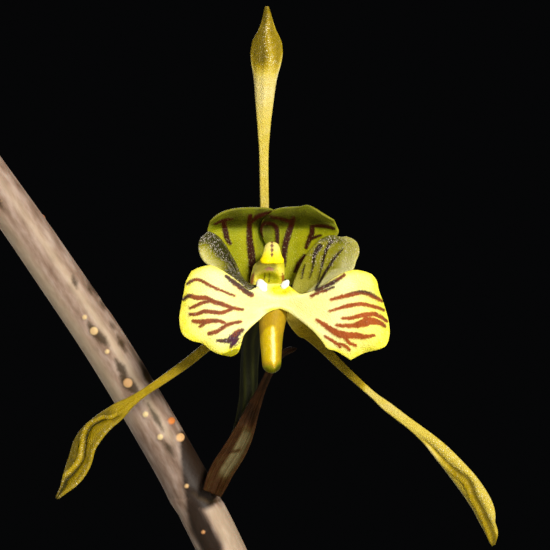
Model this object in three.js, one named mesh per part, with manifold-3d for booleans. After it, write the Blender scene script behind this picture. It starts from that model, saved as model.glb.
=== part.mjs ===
// Potted oeceoclades spathulifera: a small ground orchid in a plain clay pot, in millimetres, +Z up.
// The origin is the centre of the pot's base. The front flower looks along -Y.
import * as THREE from "three";
import { mergeVertices } from "three/addons/utils/BufferGeometryUtils.js";
import Module from "manifold-3d";

const wasm = await Module();
wasm.setup();

// Pot and potting mix
const POT_HEIGHT = 80;
const POT_SIDES = 32;
const BASE_RADIUS = 31;
const RIM_RADIUS = 48.8;
const COLLAR_BOTTOM = 62;
const FLOOR_TOP = 7;
const DRAIN_RADIUS = 4;
const DRAIN_CIRCLE = 18;
const MIX_TOP = 70;
const FIT = 0.35;

// Pseudobulbs: foot centre on the mix, height, largest radius
const BULBS = [
  { name: "bulb_back", x: 2, y: 5, height: 31, radius: 9 },
  { name: "bulb_right", x: 25, y: 8, height: 26, radius: 8.2 },
  { name: "bulb_left", x: -22, y: 6, height: 29, radius: 8.8 },
  { name: "bulb_front", x: -10, y: -19, height: 24, radius: 7.8 },
];
const BULB_FOOT = 5.8;
const BULB_SUNK = 7;

// Leaves: bulb, compass direction in degrees, reach, rise to the top of the arch, droop of the tip, half width
const LEAVES = [
  { bulb: 0, turn: 55, reach: 58, rise: 66, droop: 5, half: 12.5, phase: 0.4 },
  { bulb: 0, turn: 125, reach: 66, rise: 60, droop: 14, half: 12, phase: 1.9 },
  { bulb: 1, turn: -45, reach: 72, rise: 50, droop: 20, half: 11.5, phase: 3.1 },
  { bulb: 1, turn: 25, reach: 74, rise: 60, droop: 15, half: 12.5, phase: 4.4 },
  { bulb: 2, turn: 150, reach: 62, rise: 60, droop: 8, half: 12, phase: 5.2 },
  { bulb: 2, turn: 215, reach: 74, rise: 51, droop: 22, half: 12.5, phase: 0.9 },
  { bulb: 3, turn: 250, reach: 60, rise: 46, droop: 16, half: 11, phase: 2.6 },
  { bulb: 3, turn: 320, reach: 62, rise: 56, droop: 12, half: 11.5, phase: 3.8 },
];
const LEAF_THICK = 0.7;
const LEAF_APART = 1.65;

// Flower stem: points of its centre line, and its radius along it
const STEM_LINE = [
  [11, -11, 62], [9.2, -9.6, 86], [4.5, -6.5, 110], [-2.5, -3, 135], [-11, -0.9, 159],
  [-19, 0, 177.8], [-23, 0, 185.5], [-30.4, 0, 198], [-37.4, 0, 208.4], [-50.3, 0, 227.5],
  [-62, 0, 252], [-68, 0, 273], [-71, 0, 290], [-73, 0, 304], [-74.4, 0, 318],
];
const STEM_RADII = [2.9, 2.8, 2.65, 2.5, 2.42, 2.38, 2.36, 2.3, 2.22, 2.05, 1.8, 1.55, 1.35, 1.15, 0.75];
const STEM_HOLE = 3.65;
const SHEATHS = [92, 124, 152];

// Flowers: centre of the lip's mouth, turn about the upright in degrees, height of their node on the stem
const FRONT = { name: "front", at: [-14, -10, 205], turn: 0, node: 184, size: 1 };
const OTHERS = [
  { name: "second", at: [-63, -11.5, 246], turn: -14, node: 228, size: 0.98 },
  { name: "third", at: [-51.5, 9.5, 268], turn: 128, node: 252, size: 0.95 },
  { name: "fourth", at: [-77.5, 11.5, 290], turn: 222, node: 273, size: 0.9 },
];

// Buds: node height on the stem, compass direction, length and radius of the bud, length of its stalk
const BUDS = [
  { node: 288, turn: -50, length: 13, radius: 2.9, stalk: 12 },
  { node: 298, turn: 35, length: 10.5, radius: 2.4, stalk: 9 },
  { node: 306, turn: 235, length: 8.5, radius: 2.0, stalk: 7 },
  { node: 312, turn: -10, length: 6.5, radius: 1.6, stalk: 4.5 },
  { node: 319, turn: 90, length: 6, radius: 1.5, stalk: 0 },
];

// Flower pieces, in a frame at the lip's mouth: x to the right, y away from the viewer, z up
const BLADE = 0.6;
const CORE = { x: 0.1, z: -0.6, radius: 1.3, front: 2.3, back: 3.6 };

const clay = new THREE.MeshStandardMaterial({ color: 0xb5603c, roughness: 0.9 });
const bark = new THREE.MeshStandardMaterial({ color: 0x4a3222, roughness: 1 });
const bulbGreen = new THREE.MeshStandardMaterial({ color: 0x7c8a45, roughness: 0.6 });
const leafGreen = new THREE.MeshStandardMaterial({ color: 0x4f6a35, roughness: 0.5 });
const stemMauve = new THREE.MeshStandardMaterial({ color: 0x9c857d, roughness: 0.6 });
const sepalOlive = new THREE.MeshStandardMaterial({ color: 0xb5a42a, roughness: 0.5 });
const petalGreen = new THREE.MeshStandardMaterial({ color: 0xa4b01e, roughness: 0.5 });
const lipYellow = new THREE.MeshStandardMaterial({ color: 0xfff27a, roughness: 0.5 });
const columnGreen = new THREE.MeshStandardMaterial({ color: 0xb8bf1e, roughness: 0.5 });
const capYellow = new THREE.MeshStandardMaterial({ color: 0xffe94a, roughness: 0.5 });
const stalkGreen = new THREE.MeshStandardMaterial({ color: 0x74803a, roughness: 0.6 });
const bractBrown = new THREE.MeshStandardMaterial({ color: 0x9a6f5a, roughness: 0.8 });

const part = new THREE.Group();
const vector = (p) => new THREE.Vector3(p[0], p[1], p[2]);
const mix = (a, b, t) => a + (b - a) * t;
const clamp = (v) => Math.min(1, Math.max(0, v));
const smooth = (v) => clamp(v) * clamp(v) * (3 - 2 * clamp(v));

// A value read from evenly spaced stops, with straight runs between them.
function stops(values, t) {
  const place = clamp(t) * (values.length - 1);
  const low = Math.min(Math.floor(place), values.length - 2);
  return mix(values[low], values[low + 1], place - low);
}

// A value read from [place, value] pairs, with straight runs between them.
function along(pairs, t) {
  const next = pairs.findIndex(([place]) => place >= t);
  if (next <= 0) return next === 0 ? pairs[0][1] : pairs[pairs.length - 1][1];
  const [[a, low], [b, high]] = [pairs[next - 1], pairs[next]];
  return mix(low, high, (t - a) / (b - a));
}

// A geometry from points and faces, turned outward if it came inside out.
function bodyOf(points, faces) {
  let volume = 0;
  for (let i = 0; i < faces.length; i += 3) {
    const [a, b, c] = [points[faces[i]], points[faces[i + 1]], points[faces[i + 2]]];
    volume += a.dot(new THREE.Vector3().crossVectors(b, c));
  }
  const index = volume < 0 ? faces.slice().reverse() : faces;
  const body = new THREE.BufferGeometry().setFromPoints(points);
  body.setIndex(index);
  return body;
}

// A closed body through rings of points, capped at both ends.
function loft(rings) {
  const sides = rings[0].length;
  const points = rings.flat().map((p) => p.clone());
  const middle = (ring) => ring.reduce((sum, p) => sum.add(p), new THREE.Vector3()).divideScalar(sides);
  const first = points.push(middle(rings[0])) - 1;
  const last = points.push(middle(rings[rings.length - 1])) - 1;
  const faces = [];
  for (let i = 0; i < rings.length - 1; i++) {
    for (let j = 0; j < sides; j++) {
      const a = i * sides + j;
      const b = i * sides + ((j + 1) % sides);
      faces.push(a, b, b + sides, a, b + sides, a + sides);
    }
  }
  const end = (rings.length - 1) * sides;
  for (let j = 0; j < sides; j++) {
    faces.push(first, (j + 1) % sides, j);
    faces.push(last, end + j, end + ((j + 1) % sides));
  }
  return bodyOf(points, faces);
}

// A round rod along a curve. Its radius, and its flatness, may change on the way.
function rod(path, steps, sides, radius, flat = () => 1) {
  const frames = path.computeFrenetFrames(steps, false);
  const rings = [];
  for (let i = 0; i <= steps; i++) {
    const centre = path.getPointAt(i / steps);
    const r = radius(i / steps);
    const ring = [];
    for (let j = 0; j < sides; j++) {
      const angle = (2 * Math.PI * j) / sides;
      const across = frames.normals[i].clone().multiplyScalar(r * Math.cos(angle));
      const along = frames.binormals[i].clone().multiplyScalar(r * flat(i / steps) * Math.sin(angle));
      ring.push(centre.clone().add(across).add(along));
    }
    rings.push(ring);
  }
  return loft(rings);
}

// A blade of even thickness from a surface of two parameters. Both faces are split into the same triangles.
function blade(surface, rows, columns, thick) {
  const front = [];
  const back = [];
  const step = 0.004;
  for (let i = 0; i <= rows; i++) {
    for (let j = 0; j <= columns; j++) {
      const [s, t] = [i / rows, j / columns];
      const lengthwise = surface(Math.min(1, s + step), t).sub(surface(Math.max(0, s - step), t));
      const crosswise = surface(s, Math.min(1, t + step)).sub(surface(s, Math.max(0, t - step)));
      const offset = lengthwise.cross(crosswise).normalize().multiplyScalar(thick / 2);
      front.push(surface(s, t).add(offset));
      back.push(surface(s, t).sub(offset));
    }
  }
  const other = front.length;
  const width = columns + 1;
  const faces = [];
  for (let i = 0; i < rows; i++) {
    for (let j = 0; j < columns; j++) {
      const a = i * width + j;
      const [b, c, d] = [a + 1, a + width, a + width + 1];
      faces.push(a, c, b, b, c, d);
      faces.push(other + a, other + b, other + c, other + b, other + d, other + c);
    }
  }
  const wall = (a, b) => faces.push(a, b, other + b, a, other + b, other + a);
  for (let j = 0; j < columns; j++) {
    wall(j, j + 1);
    wall(rows * width + j + 1, rows * width + j);
  }
  for (let i = 0; i < rows; i++) {
    wall((i + 1) * width, i * width);
    wall(i * width + columns, (i + 1) * width + columns);
  }
  return bodyOf(front.concat(back), faces);
}

// A flat outline line through [x, z] points.
const line = (points) => new THREE.SplineCurve(points.map(([x, z]) => new THREE.Vector2(x, z)));

// A surface stretched between four outline lines. Root and margin run from low to high, low and high from root out.
function patch(low, high, root, margin, depth) {
  return (s, t) => {
    const [l, h, r, m] = [low.getPointAt(s), high.getPointAt(s), root.getPointAt(t), margin.getPointAt(t)];
    const [l0, l1, h0, h1] = [low.getPointAt(0), low.getPointAt(1), high.getPointAt(0), high.getPointAt(1)];
    const blend = (k) => {
      const sides = mix(l[k], h[k], t) + mix(r[k], m[k], s);
      return sides - mix(mix(l0[k], l1[k], s), mix(h0[k], h1[k], s), t);
    };
    const [x, z] = [blend("x"), blend("y")];
    return new THREE.Vector3(x, depth(s, t, x, z), z);
  };
}

// A surface along a curve: half width, and how its section bows, change on the way.
function ribbon(path, side, half, bow) {
  return (s, t) => {
    const across = 2 * t - 1;
    const along = path.getTangentAt(s);
    const wide = side(s);
    wide.sub(along.clone().multiplyScalar(wide.dot(along))).normalize();
    const face = new THREE.Vector3().crossVectors(wide, along);
    const point = path.getPointAt(s).addScaledVector(wide, half(s) * across);
    return point.addScaledVector(face, bow(s, across));
  };
}

const curve = (points) => new THREE.CatmullRomCurve3(points.map(vector), false, "centripetal");

function solidOf(geometry) {
  const bare = geometry.clone();
  bare.deleteAttribute("normal");
  bare.deleteAttribute("uv");
  const merged = mergeVertices(bare, 1e-4);
  const triVerts = new Uint32Array(merged.index.array);
  return new wasm.Manifold(
    new wasm.Mesh({ numProp: 3, vertProperties: merged.attributes.position.array, triVerts }),
  );
}

function geometryOf(solid) {
  const mesh = solid.getMesh();
  const geometry = new THREE.BufferGeometry();
  geometry.setAttribute("position", new THREE.BufferAttribute(mesh.vertProperties, 3));
  geometry.setIndex(new THREE.BufferAttribute(mesh.triVerts, 1));
  return geometry;
}

const joined = (pieces) => geometryOf(pieces.map(solidOf).reduce((a, b) => a.add(b)));
const cut = (piece, tools) => geometryOf(tools.map(solidOf).reduce((a, b) => a.subtract(b), solidOf(piece)));

function add(name, geometry, material, group = part) {
  const shaded = geometry.clone();
  shaded.deleteAttribute("normal");
  shaded.computeVertexNormals();
  const mesh = new THREE.Mesh(shaded, material);
  mesh.name = name;
  group.add(mesh);
}

// Clay pot: a turned wall with a collar, and four drainage holes clear of the centre of its base
function pot() {
  const profile = [
    [0, 0], [BASE_RADIUS - 1, 0], [BASE_RADIUS, 1], [43.2, COLLAR_BOTTOM - 1], [47.3, COLLAR_BOTTOM + 0.5],
    [48.3, COLLAR_BOTTOM + 2], [RIM_RADIUS, POT_HEIGHT - 1.5], [RIM_RADIUS - 1.2, POT_HEIGHT],
    [44.8, POT_HEIGHT], [43.8, POT_HEIGHT - 1.5], [41.3, COLLAR_BOTTOM], [28.5, FLOOR_TOP + 1.5],
    [27, FLOOR_TOP], [0, FLOOR_TOP],
  ];
  const wall = new THREE.LatheGeometry(profile.map(([r, z]) => new THREE.Vector2(r, z)), POT_SIDES);
  wall.rotateX(Math.PI / 2);
  const holes = [];
  for (let i = 0; i < 4; i++) {
    const angle = Math.PI / 4 + (i * Math.PI) / 2;
    const hole = new THREE.CylinderGeometry(DRAIN_RADIUS, DRAIN_RADIUS, 3 * FLOOR_TOP, 8);
    hole.rotateX(Math.PI / 2);
    hole.translate(DRAIN_CIRCLE * Math.cos(angle), DRAIN_CIRCLE * Math.sin(angle), 0);
    holes.push(hole);
  }
  return cut(wall, holes);
}

// Potting mix: fills the pot to below its rim, uneven on top, with plain holes for what stands in it
function pottingMix() {
  const uneven = (x, y) => -0.9 + 0.45 * Math.sin(0.37 * x + 1) * Math.cos(0.31 * y) + 0.4 * Math.sin(0.23 * (x - y));
  const ring = (r, z, bumpy) => {
    const points = [];
    for (let j = 0; j < 24; j++) {
      const angle = (2 * Math.PI * j) / 24;
      const [x, y] = [r * Math.cos(angle), r * Math.sin(angle)];
      points.push(new THREE.Vector3(x, y, z + (bumpy ? uneven(x, y) : 0)));
    }
    return points;
  };
  const rings = [
    ring(26, FLOOR_TOP + FIT, false), ring(27.8, FLOOR_TOP + 2.2, false), ring(40.6, COLLAR_BOTTOM, false),
    ring(41.6, MIX_TOP - 1.5, true), ring(40.6, MIX_TOP, true), ring(28, MIX_TOP, true), ring(14, MIX_TOP, true),
  ];
  const holes = BULBS.map((b) => {
    const hole = new THREE.CylinderGeometry(BULB_FOOT + FIT, BULB_FOOT + FIT, 2 * (BULB_SUNK + FIT), 12);
    hole.rotateX(Math.PI / 2);
    hole.translate(b.x, b.y, MIX_TOP);
    return hole;
  });
  const stemHole = new THREE.CylinderGeometry(STEM_HOLE, STEM_HOLE, 18, 12);
  stemHole.rotateX(Math.PI / 2);
  stemHole.translate(STEM_LINE[0][0] - 0.3, STEM_LINE[0][1] + 0.25, MIX_TOP);
  holes.push(stemHole);
  return cut(loft(rings), holes);
}

// Pseudobulb: a ribbed, pointed, fleshy stem base
function bulb(b) {
  const heights = [-BULB_SUNK, 0, 0.1, 0.3, 0.52, 0.74, 0.9, 1];
  const widths = [BULB_FOOT, BULB_FOOT, 0.9, 1, 0.95, 0.68, 0.42, 0.3];
  const rings = heights.map((h, i) => {
    const z = i < 2 ? MIX_TOP + h : MIX_TOP + h * b.height;
    const ring = [];
    for (let j = 0; j < 12; j++) {
      const angle = (2 * Math.PI * j) / 12;
      const r = i < 2 ? widths[i] : widths[i] * b.radius * (1 + 0.035 * Math.cos(6 * angle));
      ring.push(new THREE.Vector3(b.x + r * Math.cos(angle), b.y + r * Math.sin(angle), z));
    }
    return ring;
  });
  return loft(rings);
}

// Leaf: a channelled stalk that widens into an arching blade with waved margins and a pointed tip
const LEAF_WIDTHS = [0.1, 0.1, 0.11, 0.2, 0.48, 0.78, 0.95, 1, 0.93, 0.72, 0.4, 0.07];

function leaf(l) {
  const b = BULBS[l.bulb];
  const angle = (l.turn * Math.PI) / 180;
  const out = new THREE.Vector3(Math.cos(angle), Math.sin(angle), 0);
  const pair = LEAVES.filter((other) => other.bulb === l.bulb && other !== l)[0];
  const apart = (((l.turn + pair.turn) / 2 + (l.turn < pair.turn ? -90 : 90)) * Math.PI) / 180;
  const foot = new THREE.Vector3(b.x, b.y, MIX_TOP + b.height + FIT);
  foot.add(new THREE.Vector3(Math.cos(apart), Math.sin(apart), 0).multiplyScalar(LEAF_APART));
  const shape = [[0, 0], [0.012, 0.2], [0.07, 0.48], [0.22, 0.78], [0.46, 0.98], [0.72, 1], [1, 1 - l.droop / l.rise]];
  const path = new THREE.CatmullRomCurve3(
    shape.map(([r, z]) => foot.clone().addScaledVector(out, r * l.reach).add(new THREE.Vector3(0, 0, z * l.rise))),
    false, "centripetal",
  );
  const side = () => new THREE.Vector3(-out.y, out.x, 0);
  const half = (s) => Math.max(1, stops(LEAF_WIDTHS, s) * l.half);
  const bow = (s, across) => {
    const open = smooth((s - 0.2) / 0.25);
    const wave = 0.9 * Math.sin(2 * Math.PI * 4.5 * s + l.phase + (across > 0 ? 1.3 : 0)) * open * across * across;
    return -0.16 * half(s) * Math.abs(across) ** 1.5 * (open + 0.5) + wave * (s < 0.97 ? 1 : 0.3);
  };
  return blade(ribbon(path, side, half, bow), 14, 4, LEAF_THICK);
}

// Flower stem: its nodes are slight rings, and papery sheaths clasp its lower part
const stemPath = curve(STEM_LINE);
const stemAt = (height) => {
  let [low, high] = [0, 1];
  for (let i = 0; i < 30; i++) {
    const middle = (low + high) / 2;
    if (stemPath.getPointAt(middle).z < height) low = middle;
    else high = middle;
  }
  return low;
};
const NODES = [FRONT.node, ...OTHERS.map((f) => f.node), ...BUDS.slice(0, 4).map((b) => b.node)];

function stemRadius(u) {
  const centre = stemPath.getPointAt(u);
  let nearest = 0;
  let spacing = Infinity;
  STEM_LINE.forEach((p, i) => {
    if (p[2] <= centre.z && centre.z - p[2] < spacing) {
      spacing = centre.z - p[2];
      nearest = i;
    }
  });
  const next = Math.min(nearest + 1, STEM_LINE.length - 1);
  const gap = Math.max(1, STEM_LINE[next][2] - STEM_LINE[nearest][2]);
  const plain = mix(STEM_RADII[nearest], STEM_RADII[next], clamp((centre.z - STEM_LINE[nearest][2]) / gap));
  const sheath = SHEATHS.reduce((sum, z) => {
    const up = (centre.z - z) / 17;
    return sum + (up > 0 && up < 1 ? 0.55 * Math.min(1, 8 * up) * (1 - up) ** 0.5 : 0);
  }, 0);
  return plain + sheath;
}

function stem() {
  return rod(stemPath, 44, 8, stemRadius);
}

// Sepals and petals of a flower
const DORSAL_LINE = [[0, 3.6, 1.15], [-0.45, 3.6, 5], [-0.58, 3.6, 9], [-0.62, 3.7, 15.5], [-0.5, 3.9, 20.5],
  [-0.33, 3.9, 24], [-0.28, 3.7, 26.3], [-0.32, 3.3, 28.1]];
const DORSAL_HALF = [[0, 0.46], [0.45, 0.47], [0.53, 0.6], [0.61, 0.75], [0.7, 0.98], [0.75, 1.2], [0.79, 1.45],
  [0.83, 1.58], [0.86, 1.5], [0.885, 1.25], [0.91, 0.85], [0.94, 0.56], [0.97, 0.32], [1, 0.12]];
const LEFT_LINE = [[-1.35, 3.4, -1.55], [-3.8, 3.3, -3.9], [-6.35, 3, -6.2], [-8.65, 2.7, -8.05], [-10.7, 2.4, -9.5],
  [-13.5, 2.2, -11.4], [-15.4, 2.3, -12.8], [-17.3, 2.5, -14.4], [-18.5, 2.6, -16.1], [-19, 2.3, -17.8],
  [-19.9, 1.7, -19.6], [-21.4, 1.2, -21.4]];
const LEFT_HALF = [[0, 0.5], [0.33, 0.475], [0.5, 0.4], [0.565, 0.55], [0.607, 0.78], [0.68, 0.95], [0.755, 1.18],
  [0.84, 1.24], [0.89, 1.12], [0.93, 0.8], [0.965, 0.42], [1, 0.12]];
const RIGHT_LINE = [[1.5, 3.4, -1.5], [3.1, 3.4, -4.1], [5.2, 3.3, -6.2], [8.05, 3.1, -9], [11.1, 2.9, -11.7],
  [13.1, 2.8, -13.25], [15.1, 2.7, -14.8], [17.1, 2.6, -16.7], [19.1, 2.5, -19.1], [20.2, 2.3, -20.6],
  [21.2, 1.9, -22.3], [21.9, 1.5, -24.3], [22.4, 1, -26.1]];
const RIGHT_HALF = [[0, 0.6], [0.1, 0.5], [0.3, 0.4], [0.39, 0.34], [0.46, 0.5], [0.54, 0.5], [0.62, 0.66], [0.71, 0.89],
  [0.815, 1.12], [0.87, 1.12], [0.94, 0.7], [1, 0.14]];

// A sepal's section is a boat that is as deep as a share of its half width, so it flattens towards the narrow tip.
const boat = (share, half) => (s, across) => -share * half(s) * across * across * smooth((s - 0.5) / 0.2);

function dorsalSepal(rows, columns) {
  const half = (s) => along(DORSAL_HALF, s);
  const side = () => new THREE.Vector3(1, 0, 0);
  return blade(ribbon(curve(DORSAL_LINE), side, half, boat(0.5, half)), rows, columns, BLADE);
}

function sideSepal(points, halves, rows, columns) {
  const half = (s) => along(halves, s);
  const sign = Math.sign(points[1][0]);
  const side = (s) => new THREE.Vector3(0.7, -0.5 * smooth((s - 0.55) / 0.4), 0.7 * sign).normalize();
  const cup = boat(0.45, half);
  const surface = ribbon(curve(points), side, half, (s, across) => sign * -cup(s, across));
  return blade(surface, rows, columns, BLADE);
}

const PETAL_LEFT = {
  root: line([[-1.8, -0.1], [-1.4, 0.5], [-0.85, 1]]),
  low: line([[-1.8, -0.1], [-3.1, 1], [-4.6, 2.9], [-5.8, 4.4], [-6.25, 5.4], [-6, 6.4]]),
  high: line([[-0.85, 1], [-0.5, 2.5], [-0.28, 4.4], [-0.15, 6], [0.02, 7.4]]),
  margin: line([[-6, 6.4], [-5.2, 7.05], [-4.2, 7.5], [-3, 7.72], [-1.8, 7.78], [-0.5, 7.75], [0.02, 7.4]]),
};
const PETAL_RIGHT = {
  root: line([[2, -0.1], [1.6, 0.5], [1.05, 1]]),
  low: line([[2, -0.1], [3.3, 1.3], [4.9, 3.2], [6.2, 4.4], [6.85, 5.3], [6.4, 6.5]]),
  high: line([[1.05, 1], [0.8, 2.5], [0.55, 4.4], [0.4, 6], [0.42, 7.35]]),
  margin: line([[6.4, 6.5], [5.2, 7.2], [4.3, 7.8], [3.7, 8.02], [3, 7.88], [2, 7.82], [1.1, 7.7], [0.42, 7.35]]),
};

function petal(edges, rows, columns) {
  const hood = (s, t, x, z) => 2.6 - 1.5 * smooth((z - 6.1) / 1.8) - 0.045 * x * x * smooth(z / 5);
  return blade(patch(edges.low, edges.high, edges.root, edges.margin, hood), rows, columns, BLADE);
}

// Lip: two broad segments, an ear on each side, a callus of two short keels, and a spur that hangs from its mouth
const LIP_LEFT = {
  root: line([[1.1, -2.35], [1.1, -1.2], [1.1, -0.15]]),
  low: line([[1.1, -2.35], [-0.2, -2.75], [-1.1, -3.5], [-2, -4.3], [-2.6, -5], [-2.9, -6], [-3.2, -6.75], [-3.8, -7.1]]),
  high: line([[1.1, -0.15], [-0.6, -0.4], [-2, -0.5], [-3, 0.2], [-4, 0.95], [-5, 1.6], [-5.9, 1.95], [-7, 1.75], [-7.8, 1.4]]),
  margin: line([[-3.8, -7.1], [-4.7, -6.95], [-5.8, -6.5], [-6.7, -5.8], [-7.8, -5.5], [-8.65, -4.9], [-9, -3.4],
    [-8.85, -2.2], [-8.55, -0.7], [-8.35, 0.3], [-7.8, 1.4]]),
};
const LIP_RIGHT = {
  root: line([[0.8, -2.35], [0.8, -1.2], [0.8, -0.15]]),
  low: line([[0.8, -2.35], [1.9, -2.75], [2.7, -3.3], [3.5, -3.9], [4.4, -4.7], [5.1, -5.5], [5.7, -6.3], [6.6, -6.6],
    [7.3, -7], [8, -7.45]]),
  high: line([[0.8, -0.15], [2, -0.6], [3, -0.85], [4.1, -0.65], [5.2, -0.1], [6.3, 0.65], [7.3, 1.2], [8.3, 1.5],
    [9.2, 1.4], [10.1, 1.1]]),
  margin: line([[8, -7.45], [8.8, -7], [9.6, -6.65], [10.7, -6.4], [11.5, -6], [11.85, -5], [11.8, -3.8], [11.3, -1.9],
    [10.8, -0.5], [10.6, 0.4], [10.1, 1.1]]),
};
const EAR_LEFT = {
  root: line([[-1.5, -0.45], [-1.8, -0.1]]),
  low: line([[-1.5, -0.45], [-2, -0.5], [-3, 0.2], [-4, 0.95], [-5, 1.6], [-6, 1.98], [-6.7, 2.6], [-7.05, 3.5],
    [-7, 4.4], [-6.6, 5]]),
  high: line([[-1.8, -0.1], [-2.6, 0.4], [-3.05, 1.1], [-3.4, 2.1], [-3.9, 3.05], [-4.4, 3.95], [-5.1, 4.8], [-5.7, 5.2]]),
  margin: line([[-6.6, 5], [-6.1, 5.3], [-5.7, 5.2]]),
};
const EAR_RIGHT = {
  root: line([[4.3, -0.6], [3.2, -0.85], [2.1, -0.5]]),
  low: line([[4.3, -0.6], [5.2, -0.1], [6.3, 0.65], [7.3, 1.2], [8.2, 1.5], [8.5, 2.3], [8.85, 3.3], [8.7, 4.1],
    [8.3, 4.55], [7.6, 4.85]]),
  high: line([[2.1, -0.5], [2.4, 0.4], [2.8, 1.4], [3.5, 2.8], [4.2, 3.75], [4.9, 4.45], [5.6, 4.8]]),
  margin: line([[7.6, 4.85], [6.9, 4.78], [6.3, 4.92], [5.6, 4.8]]),
};

const lipDepth = (s, t) => {
  const wave = 0.16 * Math.sin(11 * t + 1) * s * s;
  return -1 - 1.8 * Math.sin(1.9 * s) - 0.35 * Math.sin(Math.PI * t) * Math.sin(Math.PI * Math.min(1, s * 0.8)) + wave;
};
const earDepth = (s, t) => {
  const outer = stops([-1, -1.9, -2.6, -2.8, -2.6, -2.2], s);
  const inner = stops([-0.5, -0.7, -1, -1.4, -1.8, -2], s);
  return mix(outer, inner, t) + 0.9 * Math.sin(Math.PI * t) * Math.sin(Math.PI * clamp(s * 0.9 + 0.1));
};

const SPUR_LINE = [[0.45, 0, -1], [0.4, 0, -2.4], [0.2, -0.2, -4], [0.13, -0.5, -5.5], [0.15, -0.8, -7], [0.2, -1.1, -8.8]];
const SPUR_RADII = [1.1, 1.36, 1.38, 1.3, 1.18, 1.1, 1.0, 0.84, 0.35];

function lip(rows, columns, sides, keels = true) {
  const segment = (e) => blade(patch(e.low, e.high, e.root, e.margin, lipDepth), rows, columns, BLADE);
  const ear = (e) => blade(patch(e.low, e.high, e.root, e.margin, earDepth), rows, Math.max(3, columns - 2), BLADE);
  const spur = rod(curve(SPUR_LINE), sides, sides, (u) => stops(SPUR_RADII, u));
  const keel = (x, z, long, turn) => {
    const k = new THREE.SphereGeometry(1, 6, 4);
    k.scale(0.62, 0.6, long);
    k.rotateY(turn);
    k.translate(x, -1.35, z);
    return k;
  };
  const pieces = [segment(LIP_LEFT), segment(LIP_RIGHT), ear(EAR_LEFT), ear(EAR_RIGHT), spur];
  if (keels) pieces.push(keel(-0.85, -0.6, 1.1, 0.35), keel(1.35, -0.1, 0.75, -0.7));
  return joined(pieces);
}

// Column: a short arched body with narrow wings, and the anther cap on its tip
const COLUMN_LINE = [[0.15, 0.95, 0.2], [0.18, 0.7, 1.4], [0.2, 0.45, 2.6], [0.22, 0.15, 3.7], [0.22, 0, 4.25]];
const COLUMN_RADII = [1.3, 1.5, 1.45, 1.2, 0.8, 0.42];

function column(steps, sides) {
  return rod(curve(COLUMN_LINE), steps, sides, (u) => stops(COLUMN_RADII, u), () => 0.62);
}

function antherCap() {
  const rings = [[2.0, 1.05, 0.45], [2.3, 1.2, 0.5], [2.8, 1.0, 0.5], [3.5, 0.72, 0.42], [4.05, 0.55, 0.36], [4.3, 0.28, 0.2]];
  return loft(rings.map(([z, wide, deep]) => {
    const ring = [];
    for (let j = 0; j < 10; j++) {
      const angle = (2 * Math.PI * j) / 10;
      const lean = -1.75 + 0.06 * (z - 2);
      ring.push(new THREE.Vector3(0.2 + wide * Math.cos(angle), lean + deep * Math.sin(angle), z));
    }
    return ring;
  }));
}

// Where a stalk leaves the stem: a point clear of its skin, and the direction straight out of it
function anchor(height, towards, clear) {
  const u = stemAt(height);
  const centre = stemPath.getPointAt(u);
  const along = stemPath.getTangentAt(u);
  const out = towards.clone().sub(centre);
  out.sub(along.clone().multiplyScalar(out.dot(along))).normalize();
  return { point: centre.clone().addScaledVector(out, stemRadius(u) + clear), out };
}

// Ovary and pedicel: from the core that carries the flower, back and down to the stem
function stalkPath(flower, toLocal) {
  const start = [[CORE.x, CORE.front, CORE.z], [CORE.x, CORE.back, CORE.z], [0, 4.9, -1.1]].map(vector);
  if (flower === FRONT) {
    const rest = [[-0.8, 6.2, -2.6], [-1.75, 7.4, -4.8], [-2.1, 8.4, -8], [-2.3, 8.9, -11.5], [-3.1, 8.9, -15],
      [-4.3, 8.5, -17.8], [-5.96, 8.25, -19.8]];
    return new THREE.CatmullRomCurve3(start.concat(rest.map(vector)), false, "centripetal");
  }
  const hold = anchor(flower.node, vector(flower.at), 0.75);
  const end = hold.point.clone().applyMatrix4(toLocal);
  const knee = hold.point.clone().addScaledVector(hold.out, 2.5).add(new THREE.Vector3(0, 0, 1.5)).applyMatrix4(toLocal);
  const bend = start[2].clone().lerp(knee, 0.5).add(new THREE.Vector3(0, 1.3, -1.6));
  return new THREE.CatmullRomCurve3([...start, bend, knee, end], false, "centripetal");
}

const STALK_RADII = [1.3, 1.3, 1, 0.92, 0.9, 0.88, 0.86, 0.82, 0.78, 0.75, 0.72, 0.72];

function stalk(path, steps, sides) {
  return rod(path, steps, sides, (u) => stops(STALK_RADII, u));
}

// Bract: a dry sheath, open along one side
const FRONT_BRACT = [[-5.9, 6.8, -21.2], [-4.9, 6.7, -18.9], [-3.57, 6.7, -16.8], [-2.66, 6.6, -15], [-1.95, 6.3, -13.2],
  [-1.33, 5.8, -11.7], [-0.82, 5.3, -10.5], [-0.2, 4.7, -9.15], [0.6, 4.3, -7.6], [1.5, 4.2, -6.8], [2.7, 4.4, -6.4]];
const FRONT_BRACT_HALF = [0.95, 1.15, 1.2, 1.18, 1.1, 0.95, 0.75, 0.58, 0.4, 0.34, 0.32, 0.3, 0.26];

function frontBract() {
  const side = () => new THREE.Vector3(0.8, 0, -0.6);
  const half = (s) => stops(FRONT_BRACT_HALF, s);
  const bow = (s, across) => 0.55 * half(s) * across * across;
  return blade(ribbon(curve(FRONT_BRACT), side, half, bow), 13, 4, BLADE);
}

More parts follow.
